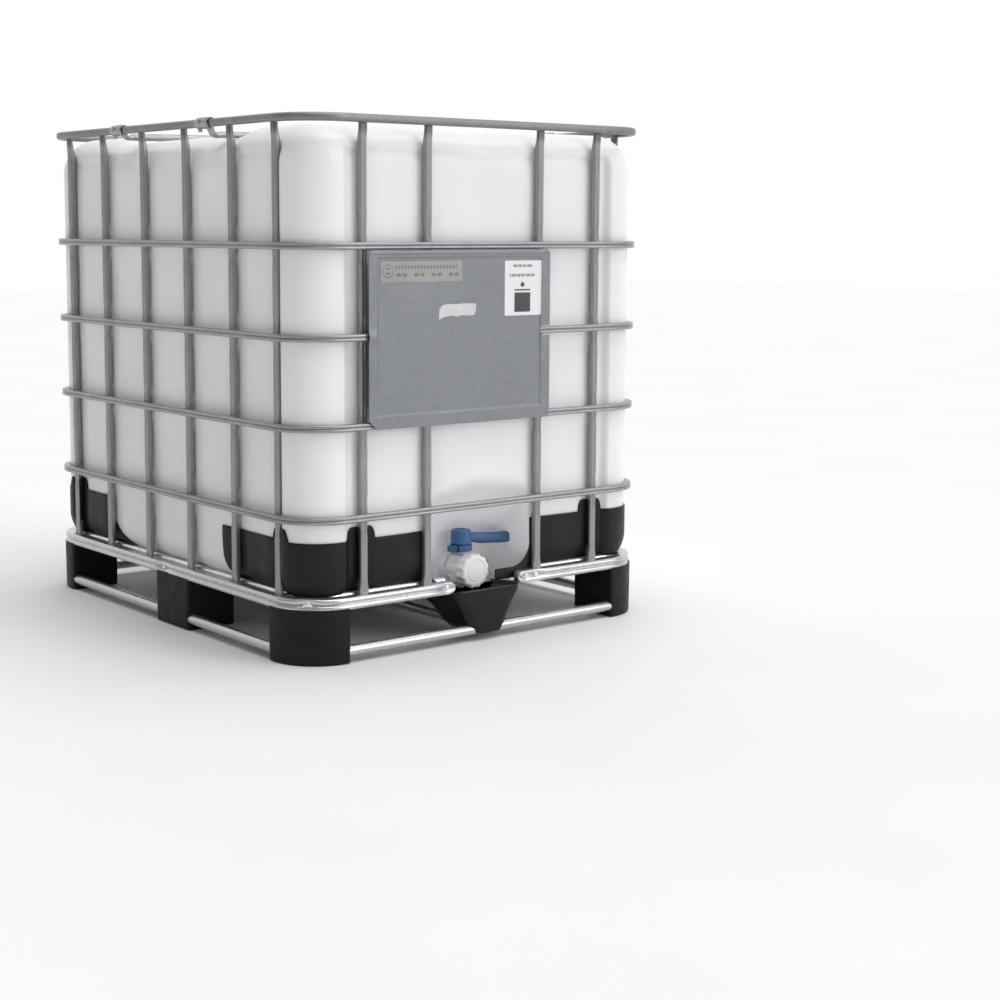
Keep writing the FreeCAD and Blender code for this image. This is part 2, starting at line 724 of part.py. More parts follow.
def turned_body(label, corners, place_y=0, place_z=0, plane="XZ_Plane", axis="Z_Axis"):
    """A piece turned about an axis of its own body from an outline of expressions."""
    body = new_body(label, 0, place_y, place_z)
    sketch = sketch_on(body, plane)
    polygon(sketch, corners)
    revolve(body, sketch, axis)
    return body


def make_fill_lid():
    turned_body("lid_seal", (
        ("dims.neck_bore - 10", "dims.neck_top"), ("dims.neck_radius", "dims.neck_top"),
        ("dims.neck_radius", "dims.neck_top + 3"), ("dims.neck_bore - 10", "dims.neck_top + 3"),
    ))
    inner = "dims.neck_radius + 1.5"
    turned_body("fill_lid", (
        ("0", "dims.neck_top + 3"), (inner, "dims.neck_top + 3"), (inner, "dims.bottle_top + 2"),
        ("dims.lid_radius", "dims.bottle_top + 2"), ("dims.lid_radius", "dims.lid_top - 4"),
        ("dims.lid_radius - 4", "dims.lid_top"), ("0", "dims.lid_top"),
    ))


# ---------------------------------------------------------------- outlet valve

VALVE_Y, VALVE_Z = "-dims.valve_back", "dims.valve_height"
CENTRE = ("0", VALVE_Y, VALVE_Z)


def along(radius, start, end):
    """A cylinder on the valve's axis; places count from the stem, positive towards the bottle."""
    return cylinder(radius, f"({end}) - ({start})", ("0", f"{VALVE_Y} + ({start})", VALVE_Z), (0, 1, 0))


def upright_rod(radius, low, high):
    """A cylinder on the stem's axis between two heights."""
    return cylinder(radius, f"({high}) - ({low})", ("0", VALVE_Y, low))


def make_valve():
    outside = fuse([
        sphere("dims.housing_radius", CENTRE),
        along("dims.tail_radius", "0", "dims.tail_reach"),
        along("dims.spout_radius", "-dims.spout_reach", "-22"),
        upright_rod("dims.neck_tube", VALVE_Z, "dims.neck_height"),
    ])
    keep(cut(outside, [
        sphere("dims.ball_radius + dims.play", CENTRE),
        along("dims.valve_bore", "-60", "60"),
        upright_rod("dims.stem_radius + 0.1", VALVE_Z, "190"),
    ], "valve_body"), "valve_body")
    ball = sphere("dims.ball_radius", CENTRE)
    bore = cylinder("dims.valve_bore", "80", ("-40", VALVE_Y, VALVE_Z), (1, 0, 0))
    socket = upright_rod("dims.stem_radius + 0.05", "dims.valve_height + dims.ball_radius - 7", "190")
    keep(cut(ball, [bore, socket], "valve_ball"), "valve_ball")
    keep(upright_rod("dims.stem_radius", "dims.valve_height + dims.ball_radius - 6", "dims.stem_top"),
         "valve_stem")
    nut = along("dims.nut_radius", "dims.nut_start", "dims.nut_end")
    nut_hole = along("dims.tail_radius + dims.play", "dims.nut_start - 1", "dims.nut_end + 1")
    keep(cut(nut, [nut_hole], "union_nut"), "union_nut")
    tab_low = ("-dims.collar_tab", f"{VALVE_Y} - 9", "dims.collar_low")
    tab = box(tab_low, ("0", f"{VALVE_Y} + 9", "dims.collar_top"))
    collar = fuse([upright_rod("dims.collar_radius", "dims.collar_low", "dims.collar_top"), tab])
    collar_hole = upright_rod("dims.stem_radius + 4", "dims.collar_low - 1", "dims.collar_top + 1")
    keep(cut(collar, [collar_hole], "stem_collar"), "stem_collar")


def make_handle():
    """A hub on the stem with a flat arm that falls a little towards its round end."""
    hub = upright_rod("dims.hub_radius", "dims.hub_low", "dims.hub_top")
    end = "(dims.handle_reach - dims.arm_half)"
    arm = new_body("handle_arm", 0, size(VALVE_Y))
    profile = sketch_on(arm, "XZ_Plane")
    polygon(profile, (
        ("0", "dims.hub_low"), ("dims.hub_radius + 6", "dims.hub_low"),
        ("dims.hub_radius + 30", "dims.arm_low + 2"),
        (end, "dims.arm_low"), (end, "dims.arm_top"), ("dims.hub_radius + 6", "dims.arm_top + dims.arm_fall"),
        ("0", "dims.arm_top + dims.arm_fall"),
    ))
    pad(arm, profile, "2 * dims.arm_half", both_ways=True)
    nodes.remove(arm)
    tip = cylinder("dims.arm_half", "dims.arm_top - dims.arm_low", (end, VALVE_Y, "dims.arm_low"))
    socket = upright_rod("dims.stem_radius + 0.05", "dims.hub_low - 1", "dims.stem_top + 0.2")
    keep(cut(fuse([hub, arm, tip]), [socket], "valve_handle"), "valve_handle")


def make_outlet_cap():
    """A dust cap over the spout, with its flat seal against the spout's end."""
    cap = along("dims.cap_radius", "-dims.cap_front", "-dims.cap_back")
    inside = along("dims.spout_radius + 1", "-dims.cap_floor", "-dims.cap_back + 1")
    keep(cut(cap, [inside], "outlet_cap"), "outlet_cap")
    keep(along("dims.spout_radius", "-dims.cap_floor", "-dims.seal_back"), "cap_seal")


# ---------------------------------------------------------------- assembly

make_hoops()
tube_ring("rim_tube", "dims.rim_radius", "dims.rim_height", "dims.rim_radius")
make_uprights()
make_base_rail()
make_rail_screws()
make_hold_down_bar("hold_down_bar_front", -size("dims.bar_front"))
make_hold_down_bar("hold_down_bar_back", size("dims.bar_back"))
make_base_pan()
make_deck_beams()
make_skid()
skid_room, runner_room = skid_clearance()
for side_name, side_x in (("left", "-"), ("right", "")):
    for end_name, side_y in (("front", "-"), ("back", "")):
        make_corner_foot(f"foot_{end_name}_{side_name}", side_x, side_y, skid_room)
make_middle_feet(skid_room, runner_room)
make_valve_guard(skid_room, runner_room)
make_bottle()
make_protector("protector_front_left", -1, -1, 147, 228)
make_protector("protector_front_right", 1, -1, 147, 228)
make_protector("protector_back_left", -1, 1, 147, 300)
make_protector("protector_back_right", 1, 1, 147, 300)
make_label_plate()
make_label_cards()
make_fill_lid()
make_valve()
make_handle()
make_outlet_cap()

doc.recompute()
faults = [item.Name for item in doc.Objects if "Invalid" in item.State or "Error" in item.State]
assert not faults, f"failed objects: {faults}"
os.makedirs("parts", exist_ok=True)
for item in nodes:
    shape = item.Shape
    assert not shape.isNull() and shape.isValid(), f"{item.Label} has no valid shape"
    shape.exportStep(f"parts/{item.Label}.step")
    box_now = shape.BoundBox
    print(f"{item.Label:24s} solids {len(shape.Solids)}  volume {shape.Volume / 1000:9.1f} cm3  "
          f"X {box_now.XMin:7.1f} {box_now.XMax:7.1f}  Y {box_now.YMin:7.1f} {box_now.YMax:7.1f}  "
          f"Z {box_now.ZMin:7.1f} {box_now.ZMax:7.1f}")
print(len(nodes), "sub-parts")
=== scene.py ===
import math

import bpy
import bmesh
import numpy as np
from mathutils import Matrix, Vector


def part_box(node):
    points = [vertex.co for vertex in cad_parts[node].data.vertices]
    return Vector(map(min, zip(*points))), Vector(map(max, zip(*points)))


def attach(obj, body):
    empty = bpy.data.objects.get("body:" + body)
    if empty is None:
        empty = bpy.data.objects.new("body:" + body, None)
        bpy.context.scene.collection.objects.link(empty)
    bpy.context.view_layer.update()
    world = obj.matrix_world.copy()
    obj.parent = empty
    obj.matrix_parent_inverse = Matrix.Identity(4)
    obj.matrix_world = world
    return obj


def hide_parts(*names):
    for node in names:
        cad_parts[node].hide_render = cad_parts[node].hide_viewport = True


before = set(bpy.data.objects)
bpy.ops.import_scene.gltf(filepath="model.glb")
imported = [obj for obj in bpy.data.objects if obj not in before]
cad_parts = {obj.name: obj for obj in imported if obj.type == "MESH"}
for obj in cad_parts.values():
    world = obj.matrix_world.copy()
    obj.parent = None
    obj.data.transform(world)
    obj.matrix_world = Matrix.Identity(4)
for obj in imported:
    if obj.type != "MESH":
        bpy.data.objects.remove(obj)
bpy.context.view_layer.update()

# ---------------------------------------------------------------- sizes taken from the frame, metres

HALF_X, HALF_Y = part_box("hoop_1")[1].x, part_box("hoop_1")[1].y
TUBE = 0.016                    # hoops and uprights
CAGE_CORNER = 0.116             # outside radius of the cage's corners
HOOPS = [sum(corner.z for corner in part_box(f"hoop_{number}")) / 2 for number in (1, 2, 3, 4)]
RIM_RADIUS = 0.009
RIM_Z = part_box("rim_tube")[1].z - RIM_RADIUS
RAIL_LOW, RAIL_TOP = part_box("base_rail")[0].z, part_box("base_rail")[1].z
RAIL_FOOT = RAIL_LOW - 0.0042   # the rail reaches a little lower than in CAD
RAIL_DEEP = 0.032
RAIL_GAP = 0.090                # half of the rail's gap in front of the valve
PAN_FLOOR, PAN_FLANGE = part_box("base_pan")[0].z + 0.002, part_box("base_pan")[1].z
BOTTLE_X, BOTTLE_Y = 0.480, 0.580
BOTTLE_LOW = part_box("bottle")[0].z
BOTTLE_CORNER = 0.088
PANEL_DEEP = 0.015              # how far the bottle's walls sink in from its corners
VALVE_Y, VALVE_Z = -0.497, 0.149  # where the valve's stem and its outlet cross


def centre(node):
    low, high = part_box(node)
    return (low + high) / 2


def nodes_named(prefix):
    return [node for node in sorted(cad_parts) if node.startswith(prefix)]


# ---------------------------------------------------------------- mesh helpers

def make_mesh(name, points, faces, angle=math.radians(40)):
    mesh = bpy.data.meshes.new(name)
    mesh.from_pydata([tuple(point) for point in points], [], [tuple(face) for face in faces])
    mesh.validate()
    mesh.update()
    piece = bpy.data.objects.new(name, mesh)
    bpy.context.scene.collection.objects.link(piece)
    smooth(piece, angle)
    return piece


def smooth(piece, angle=math.radians(40)):
    piece.data.shade_smooth()
    piece.data.set_sharp_from_angle(angle=angle)


def finish_piece(piece, body, slot, material, *stands_for):
    """Gives a piece its material and body, and hides the CAD nodes it stands for; slot is not used."""
    piece.data.materials.clear()
    piece.data.materials.append(material)
    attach(piece, body)
    if stands_for:
        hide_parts(*stands_for)
    return piece


def outward_mesh(name, points, faces, angle=math.radians(40), merge=None):
    """A mesh whose faces all point outward, after joining points closer than merge."""
    piece = make_mesh(name, points, faces, angle)
    mesh = bmesh.new()
    mesh.from_mesh(piece.data)
    if merge:
        bmesh.ops.remove_doubles(mesh, verts=mesh.verts, dist=merge)
    bmesh.ops.recalc_face_normals(mesh, faces=mesh.faces)
    mesh.to_mesh(piece.data)
    mesh.free()
    smooth(piece, angle)
    return piece


def apply_modifier(piece, kind, **settings):
    modifier = piece.modifiers.new(kind, kind)
    for field, value in settings.items():
        setattr(modifier, field, value)
    with bpy.context.temp_override(object=piece, active_object=piece, selected_objects=[piece]):
        bpy.ops.object.modifier_apply(modifier=modifier.name)


def grid_faces(rows, columns, wrap_rows=False, wrap_columns=False):
    """Quads of a grid of points stored row by row."""
    faces = []
    for row in range(rows if wrap_rows else rows - 1):
        for column in range(columns if wrap_columns else columns - 1):
            after_row, after_column = (row + 1) % rows, (column + 1) % columns
            faces.append((row * columns + column, row * columns + after_column,
                          after_row * columns + after_column, after_row * columns + column))
    return faces


def tube_faces(rows, columns, first_cap=True, last_cap=True):
    """Quads of a grid whose rows are closed rings, with caps over its first and last ring."""
    faces = grid_faces(rows, columns, wrap_columns=True)
    if first_cap:
        faces.append(tuple(reversed(range(columns))))
    if last_cap:
        faces.append(tuple(range((rows - 1) * columns, rows * columns)))
    return faces


def sweep(name, stations, section, closed=False, angle=math.radians(40)):
    """Carries a closed section along stations of (origin, a axis, b axis[, section of its own])."""
    points = []
    for station in stations:
        origin, a_axis, b_axis = (np.array(item, float) for item in station[:3])
        outline = station[3] if len(station) > 3 else section
        points += [origin + a * a_axis + b * b_axis for a, b in outline]
    count = len(stations[0][3]) if len(stations[0]) > 3 else len(section)
    if closed:
        faces = grid_faces(len(stations), count, wrap_rows=True, wrap_columns=True)
    else:
        faces = tube_faces(len(stations), count)
    return outward_mesh(name, points, faces, angle)


def turns(count):
    """Evenly spaced angles round a circle."""
    return [2 * math.pi * step / count for step in range(count)]


def arc_points(centre_a, centre_b, radius, start, end, steps):
    """Points on an arc; angles in degrees."""
    angles = [math.radians(start + (end - start) * step / steps) for step in range(steps + 1)]
    return [(centre_a + radius * math.cos(angle), centre_b + radius * math.sin(angle)) for angle in angles]


def rounded_box(low_a, high_a, low_b, high_b, corner, steps):
    """A rectangle with round corners, anticlockwise from its high corner."""
    points = []
    for a, b, start in ((high_a - corner, high_b - corner, 0), (low_a + corner, high_b - corner, 90),
                        (low_a + corner, low_b + corner, 180), (high_a - corner, low_b + corner, 270)):
        points += arc_points(a, b, corner, start, start + 90, steps)
    return points


def ring_outline(half_x, half_y, corner, arc_steps=12, spacing=0.06):
    """A rounded rectangle, anticlockwise from the middle of the front: (x, y, normal x, normal y)."""
    outline = []
    inner_x, inner_y = half_x - corner, half_y - corner
    spans = (
        ((0, -half_y), (inner_x, -half_y), (0, -1)),
        ((half_x, -inner_y), (half_x, inner_y), (1, 0)),
        ((inner_x, half_y), (-inner_x, half_y), (0, 1)),
        ((-half_x, inner_y), (-half_x, -inner_y), (-1, 0)),
        ((-inner_x, -half_y), (0, -half_y), (0, -1)),
    )
    corners = ((inner_x, -inner_y, -90), (inner_x, inner_y, 0),
               (-inner_x, inner_y, 90), (-inner_x, -inner_y, 180))
    for number, (start, end, normal) in enumerate(spans):
        length = math.hypot(end[0] - start[0], end[1] - start[1])
        steps = max(1, round(length / spacing))
        last = steps if number < 4 else steps - 1
        for step in range(last + 1):
            share = step / steps
            outline.append((start[0] + (end[0] - start[0]) * share,
                            start[1] + (end[1] - start[1]) * share, *normal))
        if number < 4:
            x, y, turn = corners[number]
            outline += [(x + corner * nx, y + corner * ny, nx, ny)
                        for nx, ny in arc_points(0, 0, 1, turn, turn + 90, arc_steps)[1:-1]]
    return outline


def inset_ring(ring, inset, height):
    """Points of an outline of (x, y, nx, ny), moved inward by inset and set at a height."""
    return np.stack([ring[:, 0] - ring[:, 2] * inset, ring[:, 1] - ring[:, 3] * inset,
                     np.full(len(ring), height)], axis=1)


def step_between(value, low, high):
    """Smooth 0 to 1 as value goes from low to high."""
    share = np.clip((value - low) / (high - low), 0, 1)
    return share * share * (3 - 2 * share)


def lathe(name, profile, origin, axis, segments=64, wobble=None, angle=math.radians(35)):
    """Turns a profile of (place along axis, radius) about an axis through origin."""
    axis = Vector(axis).normalized()
    side = axis.orthogonal().normalized()
    other = axis.cross(side)
    points = []
    for along, radius in profile:
        for turn in turns(segments):
            reach = radius * (wobble(turn, along, radius) if wobble else 1)
            outward = side * math.cos(turn) + other * math.sin(turn)
            points.append(Vector(origin) + axis * along + outward * reach)
    faces = tube_faces(len(profile), segments, profile[0][1] > 1e-6, profile[-1][1] > 1e-6)
    return outward_mesh(name, points, faces, angle, merge=1e-6)


def rounded_profile(corners, radius, steps=4):
    """A profile whose inner corners are rounded by short curves."""
    result = [corners[0]]
    for before, corner, after in zip(corners, corners[1:], corners[2:]):
        before, corner, after = Vector(before), Vector(corner), Vector(after)
        reach = min(radius, (before - corner).length * 0.45, (after - corner).length * 0.45)
        start = corner + (before - corner).normalized() * reach
        end = corner + (after - corner).normalized() * reach
        for step in range(steps + 1):
            share = step / steps
            result.append(tuple(start.lerp(corner, share).lerp(corner.lerp(end, share), share)))
    result.append(corners[-1])
    return result


def join(name, pieces):
    """Joins pieces into one object."""
    target = pieces[0]
    with bpy.context.temp_override(active_object=target, object=target, selected_objects=pieces,
                                   selected_editable_objects=pieces):
        bpy.ops.object.join()
    target.name = name
    target.data.name = name
    return target


# ---------------------------------------------------------------- materials

def new_material(name):
    material = bpy.data.materials.new(name)
    material.use_nodes = True
    nodes = material.node_tree.nodes
    shader = next(node for node in nodes if node.type == "BSDF_PRINCIPLED")
    return material, nodes, material.node_tree.links, shader


def object_noise(nodes, links, scale, detail, stretch=(1, 1, 1)):
    """A noise texture in the object's own coordinates; stretch squeezes it along the axes."""
    place = nodes.new("ShaderNodeTexCoord")
    mapping = nodes.new("ShaderNodeMapping")
    mapping.inputs["Scale"].default_value = stretch
    links.new(place.outputs["Object"], mapping.inputs["Vector"])
    noise = nodes.new("ShaderNodeTexNoise")
    noise.inputs["Scale"].default_value = scale
    noise.inputs["Detail"].default_value = detail
    links.new(mapping.outputs["Vector"], noise.inputs["Vector"])
    return noise


def ramp(nodes, links, source, stops):
    """Maps a value to colours at the given stops."""
    node = nodes.new("ShaderNodeValToRGB")
    elements = node.color_ramp.elements
    while len(elements) < len(stops):
        elements.new(0.5)
    for element, (place, colour) in zip(elements, stops):
        element.position = place
        element.color = (*colour, 1)
    links.new(source, node.inputs["Fac"])
    return node


def patches(nodes, links, scale, detail, low, high):
    """A colour that wanders in patches between two (place, colour) stops."""
    noise = object_noise(nodes, links, scale, detail)
    return ramp(nodes, links, noise.outputs["Fac"], (low, high)).outputs["Color"]


def grey(value):
    return (value, value, value)


def shade(colour, factor):
    return tuple(min(1, channel * factor) for channel in colour)


def add_bump(nodes, links, shader, noise, strength, distance):
    bump = nodes.new("ShaderNodeBump")
    bump.inputs["Strength"].default_value = strength
    bump.inputs["Distance"].default_value = distance
    links.new(noise.outputs["Fac"], bump.inputs["Height"])
    links.new(bump.outputs["Normal"], shader.inputs["Normal"])


def metal_material(name, colour, rough, metallic, spangle=45, contrast=0.12, painted_shade_above=None):
    """Galvanised steel: patchy zinc tone, slightly uneven gloss and a faint orange-peel bump.
    The last argument gives the height above which the base colour is darkened: painted shade under the rim."""
    material, nodes, links, shader = new_material(name)
    tone = patches(nodes, links, spangle, 4,
                   (0.3, shade(colour, 1 - contrast)), (0.7, shade(colour, 1 + contrast)))
    # painted shade: the base colour is darkened above the given height, where the rim shades the tube tops
    if painted_shade_above:
        place = nodes.new("ShaderNodeTexCoord")
        split = nodes.new("ShaderNodeSeparateXYZ")
        links.new(place.outputs["Object"], split.inputs["Vector"])
        level = nodes.new("ShaderNodeMapRange")
        level.inputs["From Min"].default_value = painted_shade_above - 0.012
        level.inputs["From Max"].default_value = painted_shade_above + 0.004
        links.new(split.outputs["Z"], level.inputs["Value"])
        painted_rim_shade = ramp(nodes, links, level.outputs["Result"], ((0.0, grey(1.0)), (1.0, grey(0.45))))
        rim_shade_mix = nodes.new("ShaderNodeMixRGB")
        rim_shade_mix.blend_type = "MULTIPLY"
        rim_shade_mix.inputs["Fac"].default_value = 1.0
        links.new(tone, rim_shade_mix.inputs["Color1"])
        links.new(painted_rim_shade.outputs["Color"], rim_shade_mix.inputs["Color2"])
        tone = rim_shade_mix.outputs["Color"]
    links.new(tone, shader.inputs["Base Color"])
    gloss = patches(nodes, links, 9, 5, (0.3, grey(rough - 0.08)), (0.75, grey(rough + 0.1)))
    links.new(gloss, shader.inputs["Roughness"])
    shader.inputs["Metallic"].default_value = metallic
    add_bump(nodes, links, shader, object_noise(nodes, links, 260, 2), 0.12, 0.0006)
    return material


def plastic_material(name, colour, rough, grain=900, contrast=0.15, shine=0.5):
    """Moulded plastic: a slightly uneven colour, a fine moulded grain and rubbed patches."""
    material, nodes, links, shader = new_material(name)
    tone = patches(nodes, links, 14, 5,
                   (0.3, shade(colour, 1 - contrast)), (0.72, shade(colour, 1 + contrast)))
    links.new(tone, shader.inputs["Base Color"])
    gloss = patches(nodes, links, 35, 6, (0.35, grey(rough - 0.07)), (0.7, grey(rough + 0.08)))
    links.new(gloss, shader.inputs["Roughness"])
    shader.inputs["Specular IOR Level"].default_value = shine
    add_bump(nodes, links, shader, object_noise(nodes, links, grain, 2), 0.1, 0.0004)
    return material


def bottle_material():
    """Natural blow-moulded polyethylene: milky, waxy, a little light inside, with faint flow marks; an
    emission patch round the valve recess is painted light against the shade there.
    """
    material, nodes, links, shader = new_material("bottle_polyethylene")
    clouds = patches(nodes, links, 2.6, 4, (0.3, (0.80, 0.81, 0.825)), (0.7, (0.87, 0.875, 0.885)))
    links.new(clouds, shader.inputs["Base Color"])
    wax = patches(nodes, links, 11, 4, (0.3, grey(0.36)), (0.7, grey(0.50)))
    links.new(wax, shader.inputs["Roughness"])
    shader.inputs["Subsurface Weight"].default_value = 0.35
    shader.inputs["Subsurface Radius"].default_value = (1.0, 0.95, 0.9)
    shader.inputs["Subsurface Scale"].default_value = 0.018
    shader.inputs["IOR"].default_value = 1.5
    add_bump(nodes, links, shader, object_noise(nodes, links, 7, 6, (1, 1, 0.5)), 0.35, 0.0035)
    # painted light: emission round the valve recess brightens the shade that the rails cast there
    place = nodes.new("ShaderNodeTexCoord")
    from_recess = nodes.new("ShaderNodeVectorMath")
    from_recess.operation = "DISTANCE"
    from_recess.inputs[1].default_value = (0.0, -0.48, 0.20)
    links.new(place.outputs["Object"], from_recess.inputs[0])
    painted_recess_light = ramp(nodes, links, from_recess.outputs["Value"],
                ((0.13, (0.105, 0.092, 0.096)), (0.24, grey(0.0))))
    links.new(painted_recess_light.outputs["Color"], shader.inputs["Emission Color"])
    shader.inputs["Emission Strength"].default_value = 1.0
    return material


GALVANISED = metal_material("galvanised_tube", (0.33, 0.34, 0.35), 0.36, 0.75, contrast=0.07)
# the uprights' tops above 1.124 m get painted shade from the rim
UPRIGHT_TUBE = metal_material("upright_tube", (0.31, 0.32, 0.33), 0.38, 0.72, contrast=0.06, painted_shade_above=1.124)
# a darker, rougher copy of the galvanised tube, used for the rim
DARK_TUBE = metal_material("dark_rim_tube", (0.23, 0.235, 0.24), 0.44, 0.7, contrast=0.07)
# a brightened copy of the galvanised tube for the rail and skid: painted highlight
PAINTED_HIGHLIGHT_TUBE = metal_material("painted_highlight_tube", (0.55, 0.56, 0.58), 0.27, 0.88, 30, contrast=0.04)
BRIGHT_ZINC = metal_material("bright_zinc", (0.72, 0.73, 0.75), 0.24, 0.9, 30)
PLATE_STEEL = metal_material("plate_steel", (0.225, 0.235, 0.255), 0.46, 0.55, 70, contrast=0.06)
SCREW_ZINC = metal_material("screw_zinc", (0.75, 0.75, 0.75), 0.25, 0.95)
FOOT_PLASTIC = plastic_material("foot_polyethylene", (0.0065, 0.0068, 0.0065), 0.5, shine=0.22)
BLACK_PLASTIC = plastic_material("black_polyethylene", (0.0085, 0.0092, 0.0080), 0.46, shine=0.24)
GUARD_PLASTIC = plastic_material("guard_plastic", (0.004, 0.004, 0.004), 0.20, shine=0.30)
WHITE_PLASTIC = plastic_material("white_valve_plastic", (0.80, 0.82, 0.84), 0.33, 500, 0.03)
BLUE_PLASTIC = plastic_material("blue_handle_plastic", (0.036, 0.110, 0.255), 0.38, 500, 0.12)
SEAL_RUBBER = plastic_material("seal_rubber", (0.02, 0.02, 0.02), 0.6)
CAP_PLASTIC = plastic_material("white_cap_plastic", (0.86, 0.865, 0.87), 0.36, 500, 0.02)
LID_PLASTIC = plastic_material("lid_polyethylene", (0.030, 0.030, 0.032), 0.4, 700)
BEIGE_CARD = plastic_material("beige_card", (0.345, 0.335, 0.325), 0.45, 300, 0.10)
WHITE_CARD = plastic_material("white_card", (0.80, 0.80, 0.82), 0.45, 300, 0.02)
TORN_CARD = plastic_material("torn_paper", (0.62, 0.62, 0.63), 0.7, 200, 0.10)
DARK_INK = plastic_material("dark_ink", (0.055, 0.055, 0.065), 0.5, 300)
GREY_INK = plastic_material("grey_ink", (0.30, 0.30, 0.32), 0.5, 300)
FADED_INK = plastic_material("faded_ink", (0.20, 0.19, 0.19), 0.55, 300)
BOTTLE = bottle_material()


# ---------------------------------------------------------------- cage

def lobed_section(deep, high, groove, corner=0.0035):
    """A squeezed tube's section: two lobes outside with a groove between, flat inside. a is outward."""
    lobe = high / 4
    outer = arc_points(-lobe, -lobe, lobe, -90, 62, 9) + arc_points(-lobe, lobe, lobe, -62, 90, 9)
    middle = (-groove, 0)
    half = len(outer) // 2
    outer = outer[:half] + [middle] + outer[half:]
    inner = arc_points(-deep + corner, high / 2 - corner, corner, 90, 180, 4)
    inner += arc_points(-deep + corner, -high / 2 + corner, corner, 180, 270, 4)
    return outer + inner


def ring_stations(outline, height):
    """Stations round the cage at a height; a is outward, b is up."""
    return [((x, y, height), (nx, ny, 0), (0, 0, 1)) for x, y, nx, ny in outline]


def make_hoops():
    outline = ring_outline(HALF_X, HALF_Y, CAGE_CORNER)
    section = lobed_section(TUBE, TUBE, 0.0017)
    for number, height in enumerate(HOOPS, start=1):
        piece = sweep(f"hoop_tube_{number}", ring_stations(outline, height), section, closed=True)
        finish_piece(piece, "frame", "galvanised_tube", GALVANISED, f"hoop_{number}")


def make_rim():
    outline = ring_outline(HALF_X, HALF_Y, CAGE_CORNER)
    groove, section = 0.0010, []
    for turn in turns(28):
        reach = RIM_RADIUS - groove * math.exp(-((math.degrees(turn) + 180) % 360 - 180) ** 2 / 400)
        section.append((-RIM_RADIUS + reach * math.cos(turn), reach * math.sin(turn)))
    piece = sweep("rim_pipe", ring_stations(outline, RIM_Z), section, closed=True)
    finish_piece(piece, "frame", "galvanised_tube", DARK_TUBE, "rim_tube")


def upright_section(wide, deep, groove):
    """a is outward, b is along the wall; a shallow groove runs down the outer face."""
    corner = min(wide, deep) * 0.3
    half_a, half_b = deep / 2, wide / 2
    reach = half_b - corner
    return rounded_box(-half_a, half_a, -half_b, half_b, corner, 4) + [
        (half_a - groove * share, reach * place)
        for place, share in ((-0.5, 0.35), (-0.2, 0.95), (0, 1), (0.2, 0.95), (0.5, 0.35))]


def upright_shape(height):
    """Width, depth, lean and groove of an upright at a height."""
    wide, deep, groove = 0.0185, TUBE, 0.0012
    for hoop in HOOPS:
        near = height - hoop
        pinch = math.exp(-((abs(near) - 0.030) / 0.011) ** 2)
        wide -= 0.0020 * pinch
        deep -= 0.0034 * pinch
        groove += 0.0010 * pinch
    foot = float(step_between(RAIL_TOP + 0.030 - height, 0, 0.028))
    wide += 0.006 * foot
    deep -= 0.006 * foot
    head = float(step_between(height, 1.094, 1.134))
    deep -= 0.0070 * head
    lean = 0.0025 * head
    return wide, deep, groove * (1 - head), lean


def make_uprights():
    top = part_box("upright_left_1")[1].z
    heights = set(np.linspace(RAIL_TOP - 0.001, top + 0.002, 60))
    for hoop in HOOPS:
        heights |= {hoop + offset for offset in np.linspace(-0.06, 0.06, 21)}
    heights |= set(np.linspace(top - 0.055, top + 0.002, 14))
    heights |= set(np.linspace(RAIL_TOP, RAIL_TOP + 0.035, 8))
    heights = sorted(heights)
    for node in nodes_named("upright_"):
        side = node.split("_")[1]
        outward = {"left": (-1, 0, 0), "right": (1, 0, 0), "front": (0, -1, 0), "back": (0, 1, 0)}[side]
        along = (-outward[1], outward[0], 0)
        middle = centre(node)
        stations = []
        for height in heights:
            wide, deep, groove, lean = upright_shape(height)
            reach = (HALF_X if outward[0] else HALF_Y) - 1.5 * TUBE + lean + (TUBE - deep) * 0.25
            spot = [outward[0] * reach, outward[1] * reach, height]
            if outward[0]:
                spot[1] = middle.y
            else:
                spot[0] = middle.x
            stations.append((spot, outward, along, upright_section(wide, deep, groove)))
        piece = sweep(node.replace("upright", "cage_bar"), stations, None)
        finish_piece(piece, "frame", "galvanised_tube", UPRIGHT_TUBE, node)


# ---------------------------------------------------------------- bottle

SHOULDER = 0.088                # radius of the bottle's top and bottom edges
WELL_TOP, MID_TOP, BLOCK_TOP = 1.117, 1.125, 1.1395
BAR_CHANNELS = (-0.212, 0.189)  # where the hold-down bars cross the top
SCOOP_HALF, SCOOP_DEEP = 0.147, 0.112


def bottle_top(x, y):
    """Height of the bottle's top: raised ends, lower middle, channels for the bars, a well at the neck."""
    ends = np.sin(np.clip((np.abs(y) - 0.272) / 0.062, 0, 1) * math.pi / 2)
    dip = 0.35 * np.exp(-(x / 0.05) ** 2)
    height = MID_TOP + (BLOCK_TOP - MID_TOP) * ends * (1 - dip)
    channel = sum(np.exp(-((y - bar) / 0.030) ** 4) for bar in BAR_CHANNELS)
    height = height - 0.0075 * channel
    well = 1 - step_between(np.hypot(x, y), 0.104, 0.122)
    return height + (WELL_TOP - height) * well


def bar_distance(place, bars):
    """Distance from a place along a wall to the nearest cage bar."""
    return np.min([np.abs(place - bar) for bar in bars], axis=0)


SIDE_BARS = sorted({round(centre(node).y, 4) for node in nodes_named("upright_left")})
FRONT_BARS = sorted({round(centre(node).x, 4) for node in nodes_named("upright_front")})


